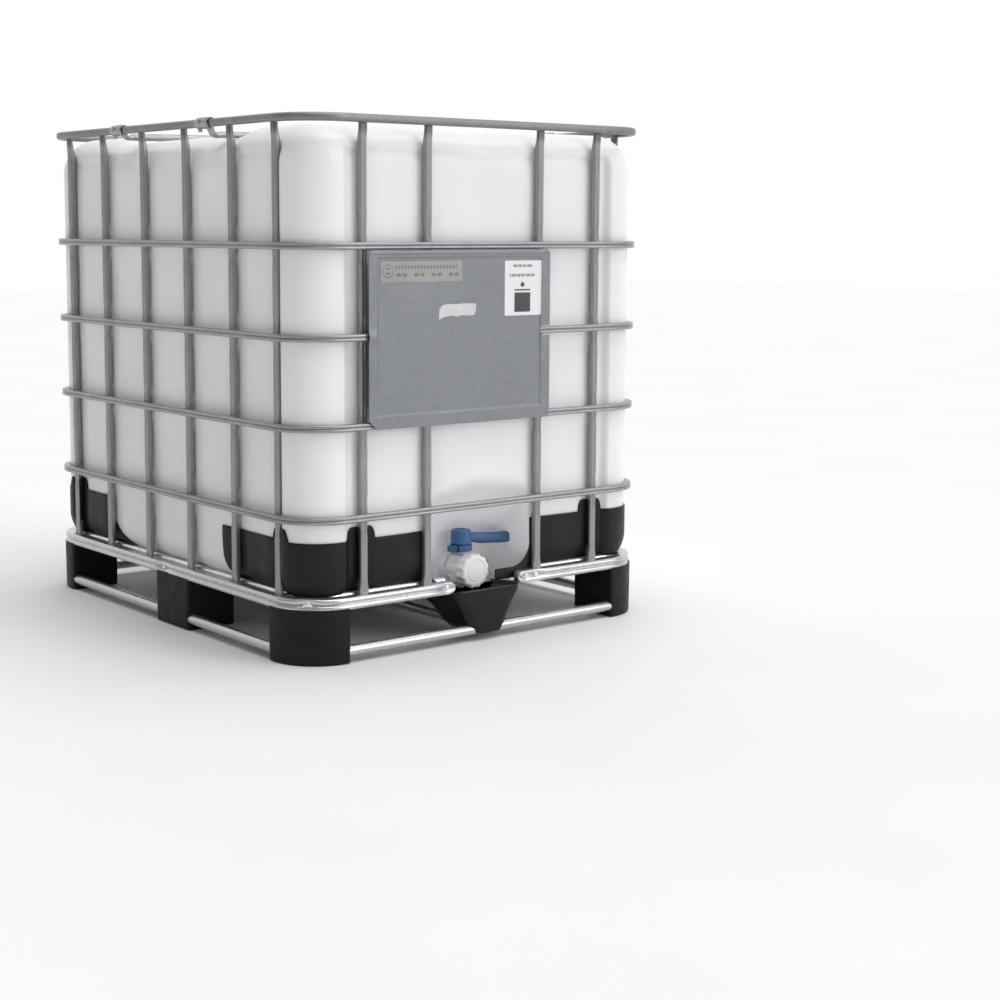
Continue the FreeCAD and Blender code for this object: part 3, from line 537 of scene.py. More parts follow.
def panel_sink(x, y, z, normal_x, normal_y):
    """How far the wall sinks in from the corner columns' plane."""
    on_side = np.abs(normal_x) > 0.99
    place = np.where(on_side, y, x)
    limit = np.where(on_side, 0.486, 0.371)
    across = 1 - step_between(np.abs(place), limit - 0.009, limit + 0.009)
    flat = np.maximum(np.abs(normal_x), np.abs(normal_y)) > 0.99
    upper = 1 - step_between(z, 1.072, 1.100)
    dip = 0.010 * np.exp(-(place / 0.06) ** 2) * ~on_side
    upper = np.where(on_side, upper, 1 - step_between(z + dip, 1.076, 1.102))
    distance = np.where(on_side, bar_distance(place, SIDE_BARS), bar_distance(place, FRONT_BARS))
    swell = 0.0045 * step_between(distance, 0.010, 0.055)
    waves = 0.0011 * np.sin(place * 17 + z * 9) * np.sin(z * 13 + place * 5)
    return flat * across * upper * (PANEL_DEEP - swell + waves)


def scoop(x, z, on_front):
    """Depth of the recess round the valve: an arched slope down to a flat back."""
    arch = 0.366 - 0.038 * (x / 0.139) ** 2
    slope = step_between(arch - z, -0.01, 0.150)
    across = 1 - step_between(np.abs(x), SCOOP_HALF - 0.026, SCOOP_HALF)
    return on_front * SCOOP_DEEP * slope * across


def bottle_columns():
    """Places round the bottle, closest together where the wall steps: (x, y, nx, ny)."""
    def spread(stops):
        places = []
        for start, end, step in stops:
            count = max(1, round((end - start) / step))
            places += [start + (end - start) * number / count for number in range(count)]
        return places
    half_front, half_side = BOTTLE_X - BOTTLE_CORNER, BOTTLE_Y - BOTTLE_CORNER
    right_front = spread(((0, 0.118, 0.012), (0.118, 0.150, 0.0021), (0.150, 0.358, 0.011),
                          (0.358, half_front, 0.0032)))
    front = [-place for place in reversed(right_front[1:])] + right_front
    side_half = spread(((0, 0.470, 0.0115), (0.470, half_side, 0.0032)))
    side = [-place for place in reversed(side_half[1:])] + side_half
    outline, arc = [], 20
    for places, nx, ny in ((front, 0, -1), (side, 1, 0), (front, 0, 1), (side, -1, 0)):
        corner_x, corner_y = nx - ny, nx + ny       # the signs of the corner that follows this wall
        for place in places:
            along = corner_x * place
            outline.append((nx * BOTTLE_X if nx else along, ny * BOTTLE_Y if ny else along, nx, ny))
        for a, b in arc_points(0, 0, 1, math.degrees(math.atan2(ny, nx)),
                               math.degrees(math.atan2(ny, nx)) + 90, arc):
            outline.append((corner_x * half_front + BOTTLE_CORNER * a,
                            corner_y * half_side + BOTTLE_CORNER * b, a, b))
    return np.array(outline)


def bottle_wall(columns, height):
    """Points of the bottle's side wall and edges at one height per column."""
    x, y, nx, ny = columns.T
    top = bottle_top(x, y)
    below = np.clip(BOTTLE_LOW + SHOULDER - height, 0, SHOULDER)
    above = np.clip(height - (top - SHOULDER), 0, SHOULDER)
    reach = np.maximum(below, above)
    inset = SHOULDER - np.sqrt(np.maximum(SHOULDER ** 2 - reach ** 2, 0))
    inset = inset + panel_sink(x, y, height, nx, ny)
    back = scoop(x, height, ny < -0.99)
    return np.stack([x - nx * inset, y - ny * inset + back, height], axis=1)


def make_bottle():
    columns = bottle_columns()
    x, y = columns[:, 0], columns[:, 1]
    top = bottle_top(x, y)
    rows = []
    for turn in np.linspace(0, math.pi / 2, 15)[:-1]:
        height = BOTTLE_LOW + SHOULDER * (1 - math.cos(turn))
        rows.append(bottle_wall(columns, np.full(len(columns), height)))
    start = np.full(len(columns), BOTTLE_LOW + SHOULDER)
    for share in np.linspace(0, 1, 96):
        rows.append(bottle_wall(columns, start + (top - SHOULDER - start) * share))
    for turn in np.linspace(0, math.pi / 2, 19)[1:]:
        rows.append(bottle_wall(columns, top - SHOULDER + SHOULDER * math.sin(turn)))
    rim = rows[-1]
    for share in np.linspace(1, 0.06, 34)[1:]:
        ring = rim * np.array([share, share, 1])
        ring[:, 2] = bottle_top(ring[:, 0], ring[:, 1])
        rows.append(ring)
    rows = [rows[0] * np.array([share, share, 1]) for share in (0.25, 0.5, 0.75, 0.9)] + rows
    faces = tube_faces(len(rows), len(columns))
    piece = make_mesh("bottle_shell", np.concatenate(rows), faces, math.radians(60))
    finish_piece(piece, "frame", "bottle_hdpe", BOTTLE, "bottle")
    neck = lathe("bottle_neck",
                 [(-0.004, 0.083), (0.0, 0.080), (0.004, 0.0775), (0.018, 0.0775), (0.0186, 0.077),
                  (0.0186, 0.0725), (0.0, 0.0720), (-0.02, 0.0720)], (0, 0, WELL_TOP), (0, 0, 1), 72)
    finish_piece(neck, "frame", "bottle_hdpe", BOTTLE)
    spout = lathe("outlet_neck",
                  [(0.0, 0.045), (0.006, 0.034), (0.012, 0.029), (0.042, 0.0268), (0.042, 0.020),
                   (0.0, 0.020)],
                  (0, -0.420, VALVE_Z), (0, -1, 0), 48)
    finish_piece(spout, "frame", "bottle_hdpe", BOTTLE)


# ---------------------------------------------------------------- corner protectors

EAR_TOP, ARM_TOP, ARM_LOW = 0.288, 0.261, 0.126
SKIN = 0.0036                   # thickness of a protector
ARM_END = 0.147                 # where a protector's front or back arm ends
RIB_PLACES = (-0.0108, 0.0108)  # the channel's sides beside a bar


def arm_stops(end, half, bar, marks):
    """Places along one arm of a protector, closest together at its end and at its ear."""
    stops = {end, end + 0.003, end + 0.007} | set(np.arange(end + 0.012, half, 0.010)) | {half}
    return stops | {bar + mark for mark in marks}


def protector_places(side_x, side_y, side_end):
    """Columns of the bottle's outline from the end of one arm round the corner to the other."""
    half_front, half_side = BOTTLE_X - BOTTLE_CORNER, BOTTLE_Y - BOTTLE_CORNER
    before_bar = (-0.0365, -0.0352, -0.0335, -0.031, -0.0275, -0.0235)
    after_bar = tuple(-mark for mark in before_bar)
    front = arm_stops(ARM_END, half_front, FRONT_BARS[-1], before_bar + after_bar)
    side = arm_stops(side_end, half_side, SIDE_BARS[-1], before_bar)
    places = [(x, BOTTLE_Y, 0, 1) for x in sorted(front) if x <= half_front]
    places += [(half_front + BOTTLE_CORNER * nx, half_side + BOTTLE_CORNER * ny, nx, ny)
               for nx, ny in arc_points(0, 0, 1, 90, 0, 24)[1:-1]]
    places += [(BOTTLE_X, y, 1, 0) for y in sorted(side, reverse=True) if y <= half_side]
    return np.array(places) * np.array([side_x, side_y, side_x, side_y])


def ear_rise(place, bar):
    """0 away from an ear, 1 on it, with a round upper corner."""
    distance = np.abs(place - bar)
    inner, outer = 0.0235, 0.0365
    rounded = np.sqrt(np.clip(1 - (np.clip(distance - inner, 0, outer - inner) / (outer - inner)) ** 2, 0, 1))
    return np.where(distance >= outer, 0, rounded)


def protector_top(columns):
    x, y = np.abs(columns[:, 0]), np.abs(columns[:, 1])
    on_front, on_side = np.abs(columns[:, 3]) > 0.99, np.abs(columns[:, 2]) > 0.99
    rise = ear_rise(x, FRONT_BARS[-1]) * on_front
    around = np.where(on_side, y, 1.0)
    rise = np.maximum(rise, ear_rise(around, SIDE_BARS[-1]) * on_side)
    corner = ~on_front & ~on_side
    angle = np.degrees(np.arctan2(np.abs(columns[:, 3]), np.abs(columns[:, 2])))
    wrap = np.where(corner & (angle < 14), 1 - (angle / 14) ** 2, 0)
    rise = np.maximum(rise, np.sqrt(np.clip(wrap, 0, 1)))
    return ARM_TOP + (EAR_TOP - ARM_TOP) * rise


def make_protector(node, side_x, side_y, side_end, side_sweep):
    """A moulded shell round one lower corner; the end of its side arm sweeps out along the bottom."""
    columns = protector_places(side_x, side_y, side_end)
    top = protector_top(columns)
    rows = []
    on_side = np.abs(columns[:, 2]) > 0.99
    near_end = on_side * (1 - step_between(np.abs(columns[:, 1]), side_end, side_end + 0.10))
    for share in np.linspace(0, 1, 40):
        height = ARM_LOW + (top - ARM_LOW) * share
        swept = columns.copy()
        swept[:, 1] -= side_y * side_sweep * near_end * np.exp(-((height - ARM_LOW) / 0.036) ** 1.3)
        rows.append(bottle_wall(swept, height))
    inner = np.array(rows)
    along = np.gradient(inner, axis=1)
    upward = np.gradient(inner, axis=0)
    normals = np.cross(along, upward)
    normals /= np.linalg.norm(normals, axis=2, keepdims=True)
    outward = np.zeros_like(normals)
    outward[:, :, :2] = columns[:, 2:]
    normals *= np.sign(np.sum(normals * outward, axis=2, keepdims=True))
    inner_skin = inner + normals * 0.0006
    outer_skin = inner + normals * SKIN
    outer_skin[-1] -= normals[-1] * 0.001
    outer_skin[:, 0] -= normals[:, 0] * 0.001
    outer_skin[:, -1] -= normals[:, -1] * 0.001
    shape = inner.shape[:2]
    count = shape[0] * shape[1]
    points = np.concatenate([outer_skin.reshape(-1, 3), inner_skin.reshape(-1, 3)])
    faces = grid_faces(*shape)
    faces += [tuple(count + index for index in reversed(face)) for face in faces]
    border = list(range(shape[1]))
    border += [row * shape[1] + shape[1] - 1 for row in range(1, shape[0])]
    border += [(shape[0] - 1) * shape[1] + column for column in range(shape[1] - 2, -1, -1)]
    border += [row * shape[1] for row in range(shape[0] - 2, 0, -1)]
    for start, end in zip(border, border[1:] + border[:1]):
        faces.append((start, end, count + end, count + start))
    shell = outward_mesh(f"{node}_shell", points, faces, math.radians(35))
    pieces = [shell] + protector_ribs(node, side_x, side_y)
    if side_y < 0:
        reach, rise = (0.044, 0.151) if side_x > 0 else (0.100, 0.139)
        pieces.append(protector_toe(node, side_x, reach, rise))
    whole = join(node.replace("protector", "corner_guard"), pieces)
    finish_piece(whole, "frame", "black_plastic", BLACK_PLASTIC, node)


def thin_plate(name, near, far, bevel):
    """A plate between two equal outlines, with softened edges."""
    piece = outward_mesh(name, near + far, tube_faces(2, len(near)))
    apply_modifier(piece, "BEVEL", width=bevel, segments=2)
    smooth(piece)
    return piece


def protector_toe(node, side_x, reach, rise):
    """The round inner corner that carries a front protector on below the recess."""
    curve = min(0.055, ARM_END - reach - 0.006)
    outline = [(ARM_END + 0.004, 0.236), (ARM_END, 0.226)]
    outline += [(ARM_END - curve + curve * math.cos(turn), rise + curve + curve * math.sin(turn))
                for turn in np.linspace(0, -math.pi / 2, 15)]
    outline += [(reach + 0.002, rise), (reach, rise - 0.002), (reach, ARM_LOW + 0.003),
                (reach + 0.003, ARM_LOW), (ARM_END + 0.004, ARM_LOW)]
    face_y = -BOTTLE_Y + PANEL_DEEP - SKIN
    near, far = ([(side_x * x, y, z) for x, z in outline] for y in (face_y, face_y + 0.0030))
    return thin_plate(f"{node}_toe", near, far, 0.0007)


def rib_plate(name, start, end, half_thick, low, high, lean):
    """An upright plate from start to end in plan, with round upper corners."""
    start, end = Vector((*start, 0)), Vector((*end, 0))
    along = (end - start).normalized()
    across = Vector((-along.y, along.x, 0)) * half_thick
    length = (end - start).length
    bend = min(0.006, length * 0.45)
    outline = [(0, low), (length, low + lean)]
    outline += [(length - bend + a, high - bend + b) for a, b in arc_points(0, 0, bend, 0, 90, 5)]
    outline += [(0, high)]
    near, far = ([start + along * a + Vector((0, 0, b)) + across * side for a, b in outline]
                 for side in (-1, 1))
    return thin_plate(name, near, far, 0.0008)


def protector_ribs(node, side_x, side_y):
    """The channel's two sides beside each of the nearest bars."""
    ribs = []
    wall_y, wall_x = BOTTLE_Y - PANEL_DEEP + 0.001, BOTTLE_X - PANEL_DEEP + 0.001
    deep, half_thick, low, high, lean = 0.014, 0.0016, 0.19, EAR_TOP - 0.001, -0.015
    for offset in RIB_PLACES:
        x, y = side_x * (FRONT_BARS[-1] + offset), side_y * (SIDE_BARS[-1] + offset)
        for start, end in (((x, side_y * wall_y), (x, side_y * (wall_y + deep))),
                           ((side_x * wall_x, y), (side_x * (wall_x + deep), y))):
            ribs.append(rib_plate(f"{node}_rib", start, end, half_thick, low, high, lean))
    return ribs


# ---------------------------------------------------------------- base

def rail_section(nose, dent):
    """The base rail's flattened tube: two lobes outside with a groove, narrowed at its ends. a is outward."""
    high = RAIL_TOP - RAIL_FOOT
    section = lobed_section(RAIL_DEEP, high, 0.0032, 0.006)
    dented = [(a - dent * (1 - min(1, (abs(b) / (high / 2)) ** 4)) if a > -0.012 else a, b)
              for a, b in section]
    return [(-0.010 + (a + 0.010) * (0.35 + 0.65 * nose), b * nose) for a, b in dented]


def make_rail():
    """An open run from one side of the valve round the cage to the other, crimped round each screw."""
    outline = ring_outline(HALF_X, HALF_Y, CAGE_CORNER, arc_steps=16, spacing=0.012)
    tips = [RAIL_GAP + reach for reach in (0.0240, 0.0180, 0.0120, 0.0070, 0.0035, 0.0012, 0.0002)]
    run = [(x, -HALF_Y, 0, -1) for x in reversed(tips)]
    run += [item for item in outline if item[1] > -HALF_Y + 0.001 or abs(item[0]) >= RAIL_GAP + 0.027]
    run += [(-x, -HALF_Y, 0, -1) for x in tips]
    screws = rail_screw_places()
    stations = []
    for x, y, nx, ny in run:
        reach = min(math.hypot(x - sx, y - sy) for sx, sy, *_ in screws)
        dent = 0.006 * math.exp(-(reach / 0.020) ** 2)
        end = min(1.0, (abs(x) - RAIL_GAP) / 0.020) if y < -HALF_Y + 0.001 else 1.0
        nose = math.sqrt(1 - (1 - end) ** 2)
        spot = (x, y, (RAIL_FOOT + RAIL_TOP) / 2)
        stations.append((spot, (nx, ny, 0), (0, 0, 1), rail_section(nose, dent)))
    piece = sweep("base_rail_tube", stations, None, angle=math.radians(50))
    # the rail's brighter tube colour is a painted highlight
    finish_piece(piece, "frame", "galvanised_tube", PAINTED_HIGHLIGHT_TUBE, "base_rail")


def rail_screw_places():
    """(x, y, outward x, outward y) of the screws in the rail: ends, middles and corners."""
    reach = RAIL_GAP + 0.025
    places = [(-reach, -HALF_Y, 0, -1), (reach, -HALF_Y, 0, -1), (reach + 0.028, -HALF_Y, 0, -1),
              (0, HALF_Y, 0, 1), (-HALF_X, 0, -1, 0), (HALF_X, 0, 1, 0)]
    inner_x, inner_y = HALF_X - CAGE_CORNER, HALF_Y - CAGE_CORNER
    slant = math.sqrt(0.5)
    for sx in (-1, 1):
        for sy in (-1, 1):
            places.append((sx * (inner_x + CAGE_CORNER * slant), sy * (inner_y + CAGE_CORNER * slant),
                           sx * slant, sy * slant))
    return places


def make_rail_screws():
    heads = []
    height = (RAIL_LOW + RAIL_TOP) / 2
    head = rounded_profile([(-0.004, 0.0), (-0.004, 0.0062), (0.0015, 0.0062), (0.003, 0.0045), (0.003, 0.0)],
                           0.0012, 3)
    washer = [(-0.004, 0.0), (-0.004, 0.0105), (-0.0005, 0.0105), (-0.0005, 0.0)]
    sunk = 0.0065
    for x, y, nx, ny in rail_screw_places():
        spot = (x - sunk * nx, y - sunk * ny, height)
        heads.append(lathe("screw", head, spot, (nx, ny, 0), 20))
        heads.append(lathe("washer", washer, spot, (nx, ny, 0), 24))
    piece = join("rail_screw_heads", heads)
    finish_piece(piece, "frame", "screw_steel", SCREW_ZINC, "rail_screws")


def make_pan():
    """Pressed dish: crowned bright flange, rounded wall and a ribbed floor, notched at the valve."""
    edge = RAIL_DEEP + 0.0003
    columns = np.array(ring_outline(HALF_X - edge, HALF_Y - edge, CAGE_CORNER - edge, 20, 0.02))
    profile = [(0.0, PAN_FLANGE - 0.003), (0.0010, PAN_FLANGE + 0.0020), (0.0042, PAN_FLANGE + 0.0052),
               (0.010, PAN_FLANGE + 0.0048), (0.0135, PAN_FLANGE + 0.0010), (0.0150, PAN_FLANGE - 0.005),
               (0.0157, PAN_FLANGE - 0.014), (0.0165, PAN_FLOOR + 0.010), (0.0195, PAN_FLOOR + 0.003),
               (0.026, PAN_FLOOR + 0.0002)]
    rows = [inset_ring(columns, inset, height) for inset, height in profile]
    last = rows[-1]
    for share in np.linspace(0.985, 0.05, 30):
        ring = last * np.array([share, share, 1])
        rib = 0.0015 * np.exp(-(((ring[:, 1] + 10.05) % 0.1 - 0.05) / 0.012) ** 2)
        ring[:, 2] -= rib * (share < 0.97)
        rows.append(ring)
    piece = make_mesh("steel_pan", np.concatenate(rows), tube_faces(len(rows), len(columns), first_cap=False))
    apply_modifier(piece, "SOLIDIFY", thickness=0.0015, offset=0)
    bpy.ops.mesh.primitive_cube_add(size=1, location=(0, -0.560, 0.13))
    cutter = bpy.context.active_object
    cutter.scale = (0.2, 0.12, 0.1)
    bpy.context.view_layer.update()
    apply_modifier(piece, "BOOLEAN", object=cutter, operation="DIFFERENCE", solver="EXACT")
    bpy.data.objects.remove(cutter)
    smooth(piece, math.radians(50))
    finish_piece(piece, "frame", "pan_sheet", BRIGHT_ZINC, "base_pan")


def make_skid():
    outline = ring_outline(HALF_X, HALF_Y, CAGE_CORNER)
    radius, inset = 0.012, 0.013
    round_section = [(radius * math.cos(turn), radius * math.sin(turn)) for turn in turns(24)]
    section = [(a - inset, b) for a, b in round_section]
    height = sum(corner.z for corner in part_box("skid_frame")) / 2
    piece = sweep("skid_pipe", ring_stations(outline, height), section, closed=True)
    finish_piece(piece, "frame", "galvanised_tube", PAINTED_HIGHLIGHT_TUBE, "skid_frame")
    low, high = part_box("skid_runner")
    stations = [((0, y, height), (1, 0, 0), (0, 0, 1)) for y in np.linspace(low.y, high.y, 12)]
    runner = sweep("skid_runner_pipe", stations, round_section)
    finish_piece(runner, "frame", "galvanised_tube", PAINTED_HIGHLIGHT_TUBE, "skid_runner")


def corner_outline(low_x, high_x, low_y, high_y, radii):
    """A rectangle with a radius per corner, anticlockwise from the low corner, with normals."""
    outline, steps = [], 10
    spots = ((low_x, low_y, 1, 1, 180), (high_x, low_y, -1, 1, 270),
             (high_x, high_y, -1, -1, 0), (low_x, high_y, 1, -1, 90))
    for (x, y, sx, sy, turn), radius in zip(spots, radii):
        outline += [(x + sx * radius + radius * nx, y + sy * radius + radius * ny, nx, ny)
                    for nx, ny in arc_points(0, 0, 1, turn, turn + 90, steps)]
    return outline


PROUD = 0.0006                  # how far the feet stand out past the cage
PAN_EDGE = 0.042                # from the cage's outside to the pan's wall
CORNERS = ((False, False), (True, False), (True, True), (False, True))


def make_feet():
    """Blocks with a chamfered lower edge and a slight draft, and a lip where they carry the rail."""
    under_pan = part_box("base_pan")[0].z - 0.0003
    levels = ((0.0, 0.005), (0.0015, 0.0022), (0.004, 0.0008), (0.045, 0.0004), (under_pan - 0.0015, 0.0),
              (under_pan, 0.0012))        # height and inset
    for node in nodes_named("foot_"):
        low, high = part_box(node)
        radii = [0.008] * 4
        middle = centre(node)
        if abs(middle.x) > 0.3 and abs(middle.y) > 0.3:
            radii[CORNERS.index((middle.x > 0, middle.y > 0))] = CAGE_CORNER + PROUD
        sides = [math.copysign(HALF_X + PROUD, x) if abs(x) > 0.49 else x for x in (low.x, high.x)]
        ends = [math.copysign(HALF_Y + PROUD, y) if abs(y) > 0.59 else y for y in (low.y, high.y)]
        outline = np.array(corner_outline(*sides, *ends, radii))
        points = np.concatenate([inset_ring(outline, inset, height) for height, inset in levels])
        faces = tube_faces(len(levels), len(outline))
        pieces = [outward_mesh(node + "_block", points, faces, math.radians(35))]
        if high.z > under_pan + 0.005:
            edge_x, edge_y = HALF_X - PAN_EDGE + 0.002, HALF_Y - PAN_EDGE + 0.002
            pieces.append(foot_lip(node, outline, edge_x, edge_y, under_pan - 0.004, high.z))
        whole = join(node.replace("foot", "base_foot"), pieces)
        finish_piece(whole, "frame", "black_plastic", FOOT_PLASTIC, node)


def foot_lip(node, outline, edge_x, edge_y, low, high):
    """The part of a foot that stands up outside the pan to carry the rail."""
    outer = outline[:, :2]
    edges = np.array([edge_x, edge_y])
    inner = np.clip(outer, -edges, edges)
    order = list(np.where((np.abs(outer) > edges).any(axis=1))[0])
    breaks = [place for place in range(1, len(order)) if order[place] - order[place - 1] != 1]
    if breaks:
        order = order[breaks[0]:] + order[:breaks[0]]
    points = []
    for height in (low, high):
        for index in order:
            points.append((*outer[index], height))
        for index in reversed(order):
            points.append((*inner[index], height))
    return outward_mesh(node + "_lip", points, tube_faces(2, 2 * len(order)), merge=1e-5)


# ---------------------------------------------------------------- hold-down bars

def oval_section(half_wide, half_high, count=24, power=0.7):
    """A soft-cornered rectangle: a across, b up."""
    section = []
    for turn in turns(count):
        a, b = math.cos(turn), math.sin(turn)
        section.append((math.copysign(abs(a) ** power, a) * half_wide,
                        math.copysign(abs(b) ** power, b) * half_high))
    return section


def bar_path(sag):
    """Half of a bar's line from its middle to the strap round the rim: (x, z, half width, half height)."""
    rim_x, wrap = HALF_X - RIM_RADIUS, RIM_RADIUS + 0.0022
    path = [(x, 1.1380 - sag - 0.0045 * (x / 0.46) ** 2, 0.0120, 0.0084 - sag / 7)
            for x in (0.0, 0.1, 0.2, 0.3, 0.4, 0.44, 0.452)]
    path += [(0.460, 1.1325 - sag, 0.0115, 0.0068), (0.467, 1.1312 - sag * 0.9, 0.0115, 0.0055),
             (0.4725, 1.1320 - sag * 0.6, 0.0125, 0.0042), (0.4765, 1.1355 - sag * 0.2, 0.0125, 0.0036),
             (0.4785, 1.1400, 0.0150, 0.0028)]
    path += [(x, z, 0.0275 - 0.0125 * max(0.0, 1 - step / 3), 0.0019)
             for step, (x, z) in enumerate(arc_points(rim_x, RIM_Z, wrap, 195, -80, 24))]
    return path


def make_hold_down_bar(node, sag):
    """A round bar across the top; each end is a flat strap wrapped over the rim and held by a screw."""
    place_y = centre(node).y
    half = bar_path(sag)
    path = [(-x, z, wide, high) for x, z, wide, high in reversed(half[1:])] + half
    stations = []
    for number, (x, z, wide, high) in enumerate(path):
        before, after = path[max(0, number - 1)], path[min(len(path) - 1, number + 1)]
        slope = Vector((after[0] - before[0], 0, after[1] - before[1])).normalized()
        stations.append(((x, place_y, z), (0, 1, 0), (-slope.z, 0, slope.x), oval_section(wide, high)))
    pieces = [sweep(node + "_tube", stations, None, angle=math.radians(45))]
    head = rounded_profile([(0.0, 0.0), (0.0, 0.0055), (0.0030, 0.0055), (0.0042, 0.0036), (0.0042, 0.0)],
                           0.0008, 3)
    for side in (-1, 1):
        tilt = Vector((side * math.cos(0.35), 0, math.sin(0.35)))
        spot = Vector((side * (HALF_X - RIM_RADIUS), place_y + 0.006, RIM_Z)) + tilt * (RIM_RADIUS + 0.0030)
        pieces.append(lathe("bar_screw", head, spot, tilt, 18))
        tail = [((side * reach, place_y + 0.018, z), (0, 1, 0), (side, 0, 0))
                for reach, z in ((0.4925, RIM_Z - 0.008), (0.4930, RIM_Z - 0.014), (0.4925, RIM_Z - 0.019))]
        pieces.append(sweep("bar_tail", tail, oval_section(0.0085, 0.0016)))
    whole = join(node.replace("hold_down_bar", "cross_bar"), pieces)
    finish_piece(whole, "frame", "galvanised_tube", GALVANISED, node)


# ---------------------------------------------------------------- valve guard

def make_valve_guard():
    """A tapered scoop that clasps the skid tube, with rounded front corners and a dished top.
    Each stage is (height, half width, half depth, corner radius, share of the front lip)."""
    low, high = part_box("valve_guard")
    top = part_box("base_pan")[0].z - 0.0003
    front, lip = low.y + 0.0002, high.z - top
    foot, flare_top = 0.020, 0.100
    outside = [(0.0170, 0.0445, 0.045, 0.022, 0.0), (0.0176, 0.0485, 0.048, 0.025, 0.0)]
    for height in np.linspace(foot, flare_top, 17):
        share = (height - foot) / (flare_top - foot)
        flare = 0.65 * share + 0.35 * share ** 3
        narrow = 0.0035 * max(0.0, 1 - share / 0.35) ** 2
        outside.append((height, 0.0545 + 0.040 * flare - narrow, 0.049 + 0.036 * flare, 0.026, 0.0))
    outside.append((top, 0.0975, 0.0890, 0.026, 0.0))
    inside = [(top, 0.0985, 0.0900, 0.026, 0.6), (top, 0.0985, 0.0900, 0.026, 0.9),
              (top, 0.0975, 0.0890, 0.025, 1.0), (top, 0.0950, 0.0865, 0.0225, 0.97),
              (top, 0.0930, 0.0845, 0.0205, 0.6), (top, 0.0920, 0.0835, 0.0200, 0.1),
              (top - 0.003, 0.088, 0.080, 0.022, 0.0), (top - 0.009, 0.076, 0.070, 0.025, 0.0),
              (top - 0.013, 0.058, 0.055, 0.026, 0.0), (top - 0.0145, 0.030, 0.028, 0.020, 0.0),
              (top - 0.015, 0.004, 0.004, 0.003, 0.0)]
    middle_y = front + 0.0900
    stages = [(front + stage[2], *stage) for stage in outside] + [(middle_y, *stage) for stage in inside]
    points = []
    for place_y, height, half_x, half_y, radius, lift in stages:
        ring = corner_outline(-half_x, half_x, place_y - half_y, place_y + half_y, [radius] * 4)
        for x, y, nx, ny in ring:
            ahead = float(step_between(middle_y - y, -0.004, 0.030))
            rise = 0.012 * (x / half_x) ** 6 * max(0.0, 1 - (height - 0.017) / 0.026) ** 2
            points.append((x, y, height + rise + lip * lift * ahead))
    piece = outward_mesh("valve_guard_shell", points, tube_faces(len(stages), len(ring)), math.radians(60))
    finish_piece(piece, "frame", "guard_plastic", GUARD_PLASTIC, "valve_guard")


# ---------------------------------------------------------------- label plate and cards

PLATE_LOW, PLATE_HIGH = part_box("label_plate")
PLATE_FACE = -HALF_Y - 0.001
MARK_LIFT, MARK_THICK = 0.0011, 0.0002  # the marks' distance from the plate and their thickness


def plate_height(x, z):
    """How far the plate's face stands out: a sunk middle, a bulge over the hoop and a pressed bead."""
    inner = step_between(x, -0.3115, -0.3045) * (1 - step_between(x, 0.1385, 0.1455))
    inner = inner * step_between(z, 0.523, 0.5285) * (1 - step_between(z, 0.857, 0.862))
    over_hoop = np.exp(-((z - HOOPS[2]) / 0.010) ** 4) * (1 - step_between(x, -0.318, -0.292))
    bead = np.exp(-((z - 0.8695) / 0.0022) ** 2)
    bead = bead * step_between(x, -0.326, -0.320) * (1 - step_between(x, 0.160, 0.165))
    waves = 0.0005 * np.sin(x * 21 + z * 7) * np.sin(z * 17 - x * 5)
    return 0.0030 - 0.0022 * inner + 0.0024 * over_hoop + 0.0012 * bead + waves * inner


def fine_places(start, end, marks):
    """Even places with extra ones round the marks."""
    step, reach, fine = 0.008, 0.005, 0.0009
    places = set(np.round(np.arange(start, end, step), 5)) | {round(start, 5), round(end, 5)}
    for mark in marks:
        places |= {round(place, 5) for place in np.arange(mark - reach, mark + reach, fine)
                   if start < place < end}
    return np.array(sorted(places))


def make_plate():
    left, right, low, high = PLATE_LOW.x, PLATE_HIGH.x, PLATE_LOW.z, PLATE_HIGH.z
    slot_low, slot_top = HOOPS[2] - 0.011, HOOPS[2] + 0.011
    xs = fine_places(left, right, (-0.308, 0.142))
    zs = fine_places(low, high, (0.526, 0.8595, 0.8695))
    zs = np.array(sorted(set(zs) | {slot_low - 0.0002, slot_low, slot_top, slot_top + 0.0002}))
    start = left + np.maximum(0, 0.020 - (zs - low)) + np.maximum(0, 0.008 - (high - zs))
    end = right - np.maximum(0, 0.008 - (high - zs)) - np.maximum(0, 0.003 - (zs - low))
    end = np.where((zs >= slot_low) & (zs <= slot_top), right - 0.027, end)
    grid_x = np.clip(xs[None, :], start[:, None], end[:, None])
    grid_z = np.repeat(zs[:, None], len(xs), axis=1)
    lift = plate_height(grid_x, grid_z)
    front = np.stack([grid_x, PLATE_FACE - lift, grid_z], axis=2).reshape(-1, 3)
    piece = outward_mesh("label_plate_sheet", front, grid_faces(len(zs), len(xs)), merge=2e-5)
    apply_modifier(piece, "SOLIDIFY", thickness=0.0010, offset=0)
    smooth(piece, math.radians(30))
    finish_piece(piece, "frame", "plate_sheet", PLATE_STEEL, "label_plate")


def card_sheet(name, outline, lift=0.0007, puff=0.0, thick=0.0004):
    """A thin sheet lying on the plate from an outline of (x, z)."""
    middle = np.mean(np.array(outline), axis=0)
    rings = (1.0, 0.985, 0.93, 0.8, 0.6, 0.4, 0.2)
    points = []
    for share in rings:
        for x, z in outline:
            x, z = middle[0] + (x - middle[0]) * share, middle[1] + (z - middle[1]) * share
            crumple = puff * (1 - share) * (1 + math.sin(x * 300 + z * 90))
            rise = plate_height(np.array(x), np.array(z)) + lift + crumple
            points.append((x, PLATE_FACE - float(rise), z))
    piece = outward_mesh(name, points, tube_faces(len(rings), len(outline), first_cap=False))
    apply_modifier(piece, "SOLIDIFY", thickness=thick, offset=0)
    return piece


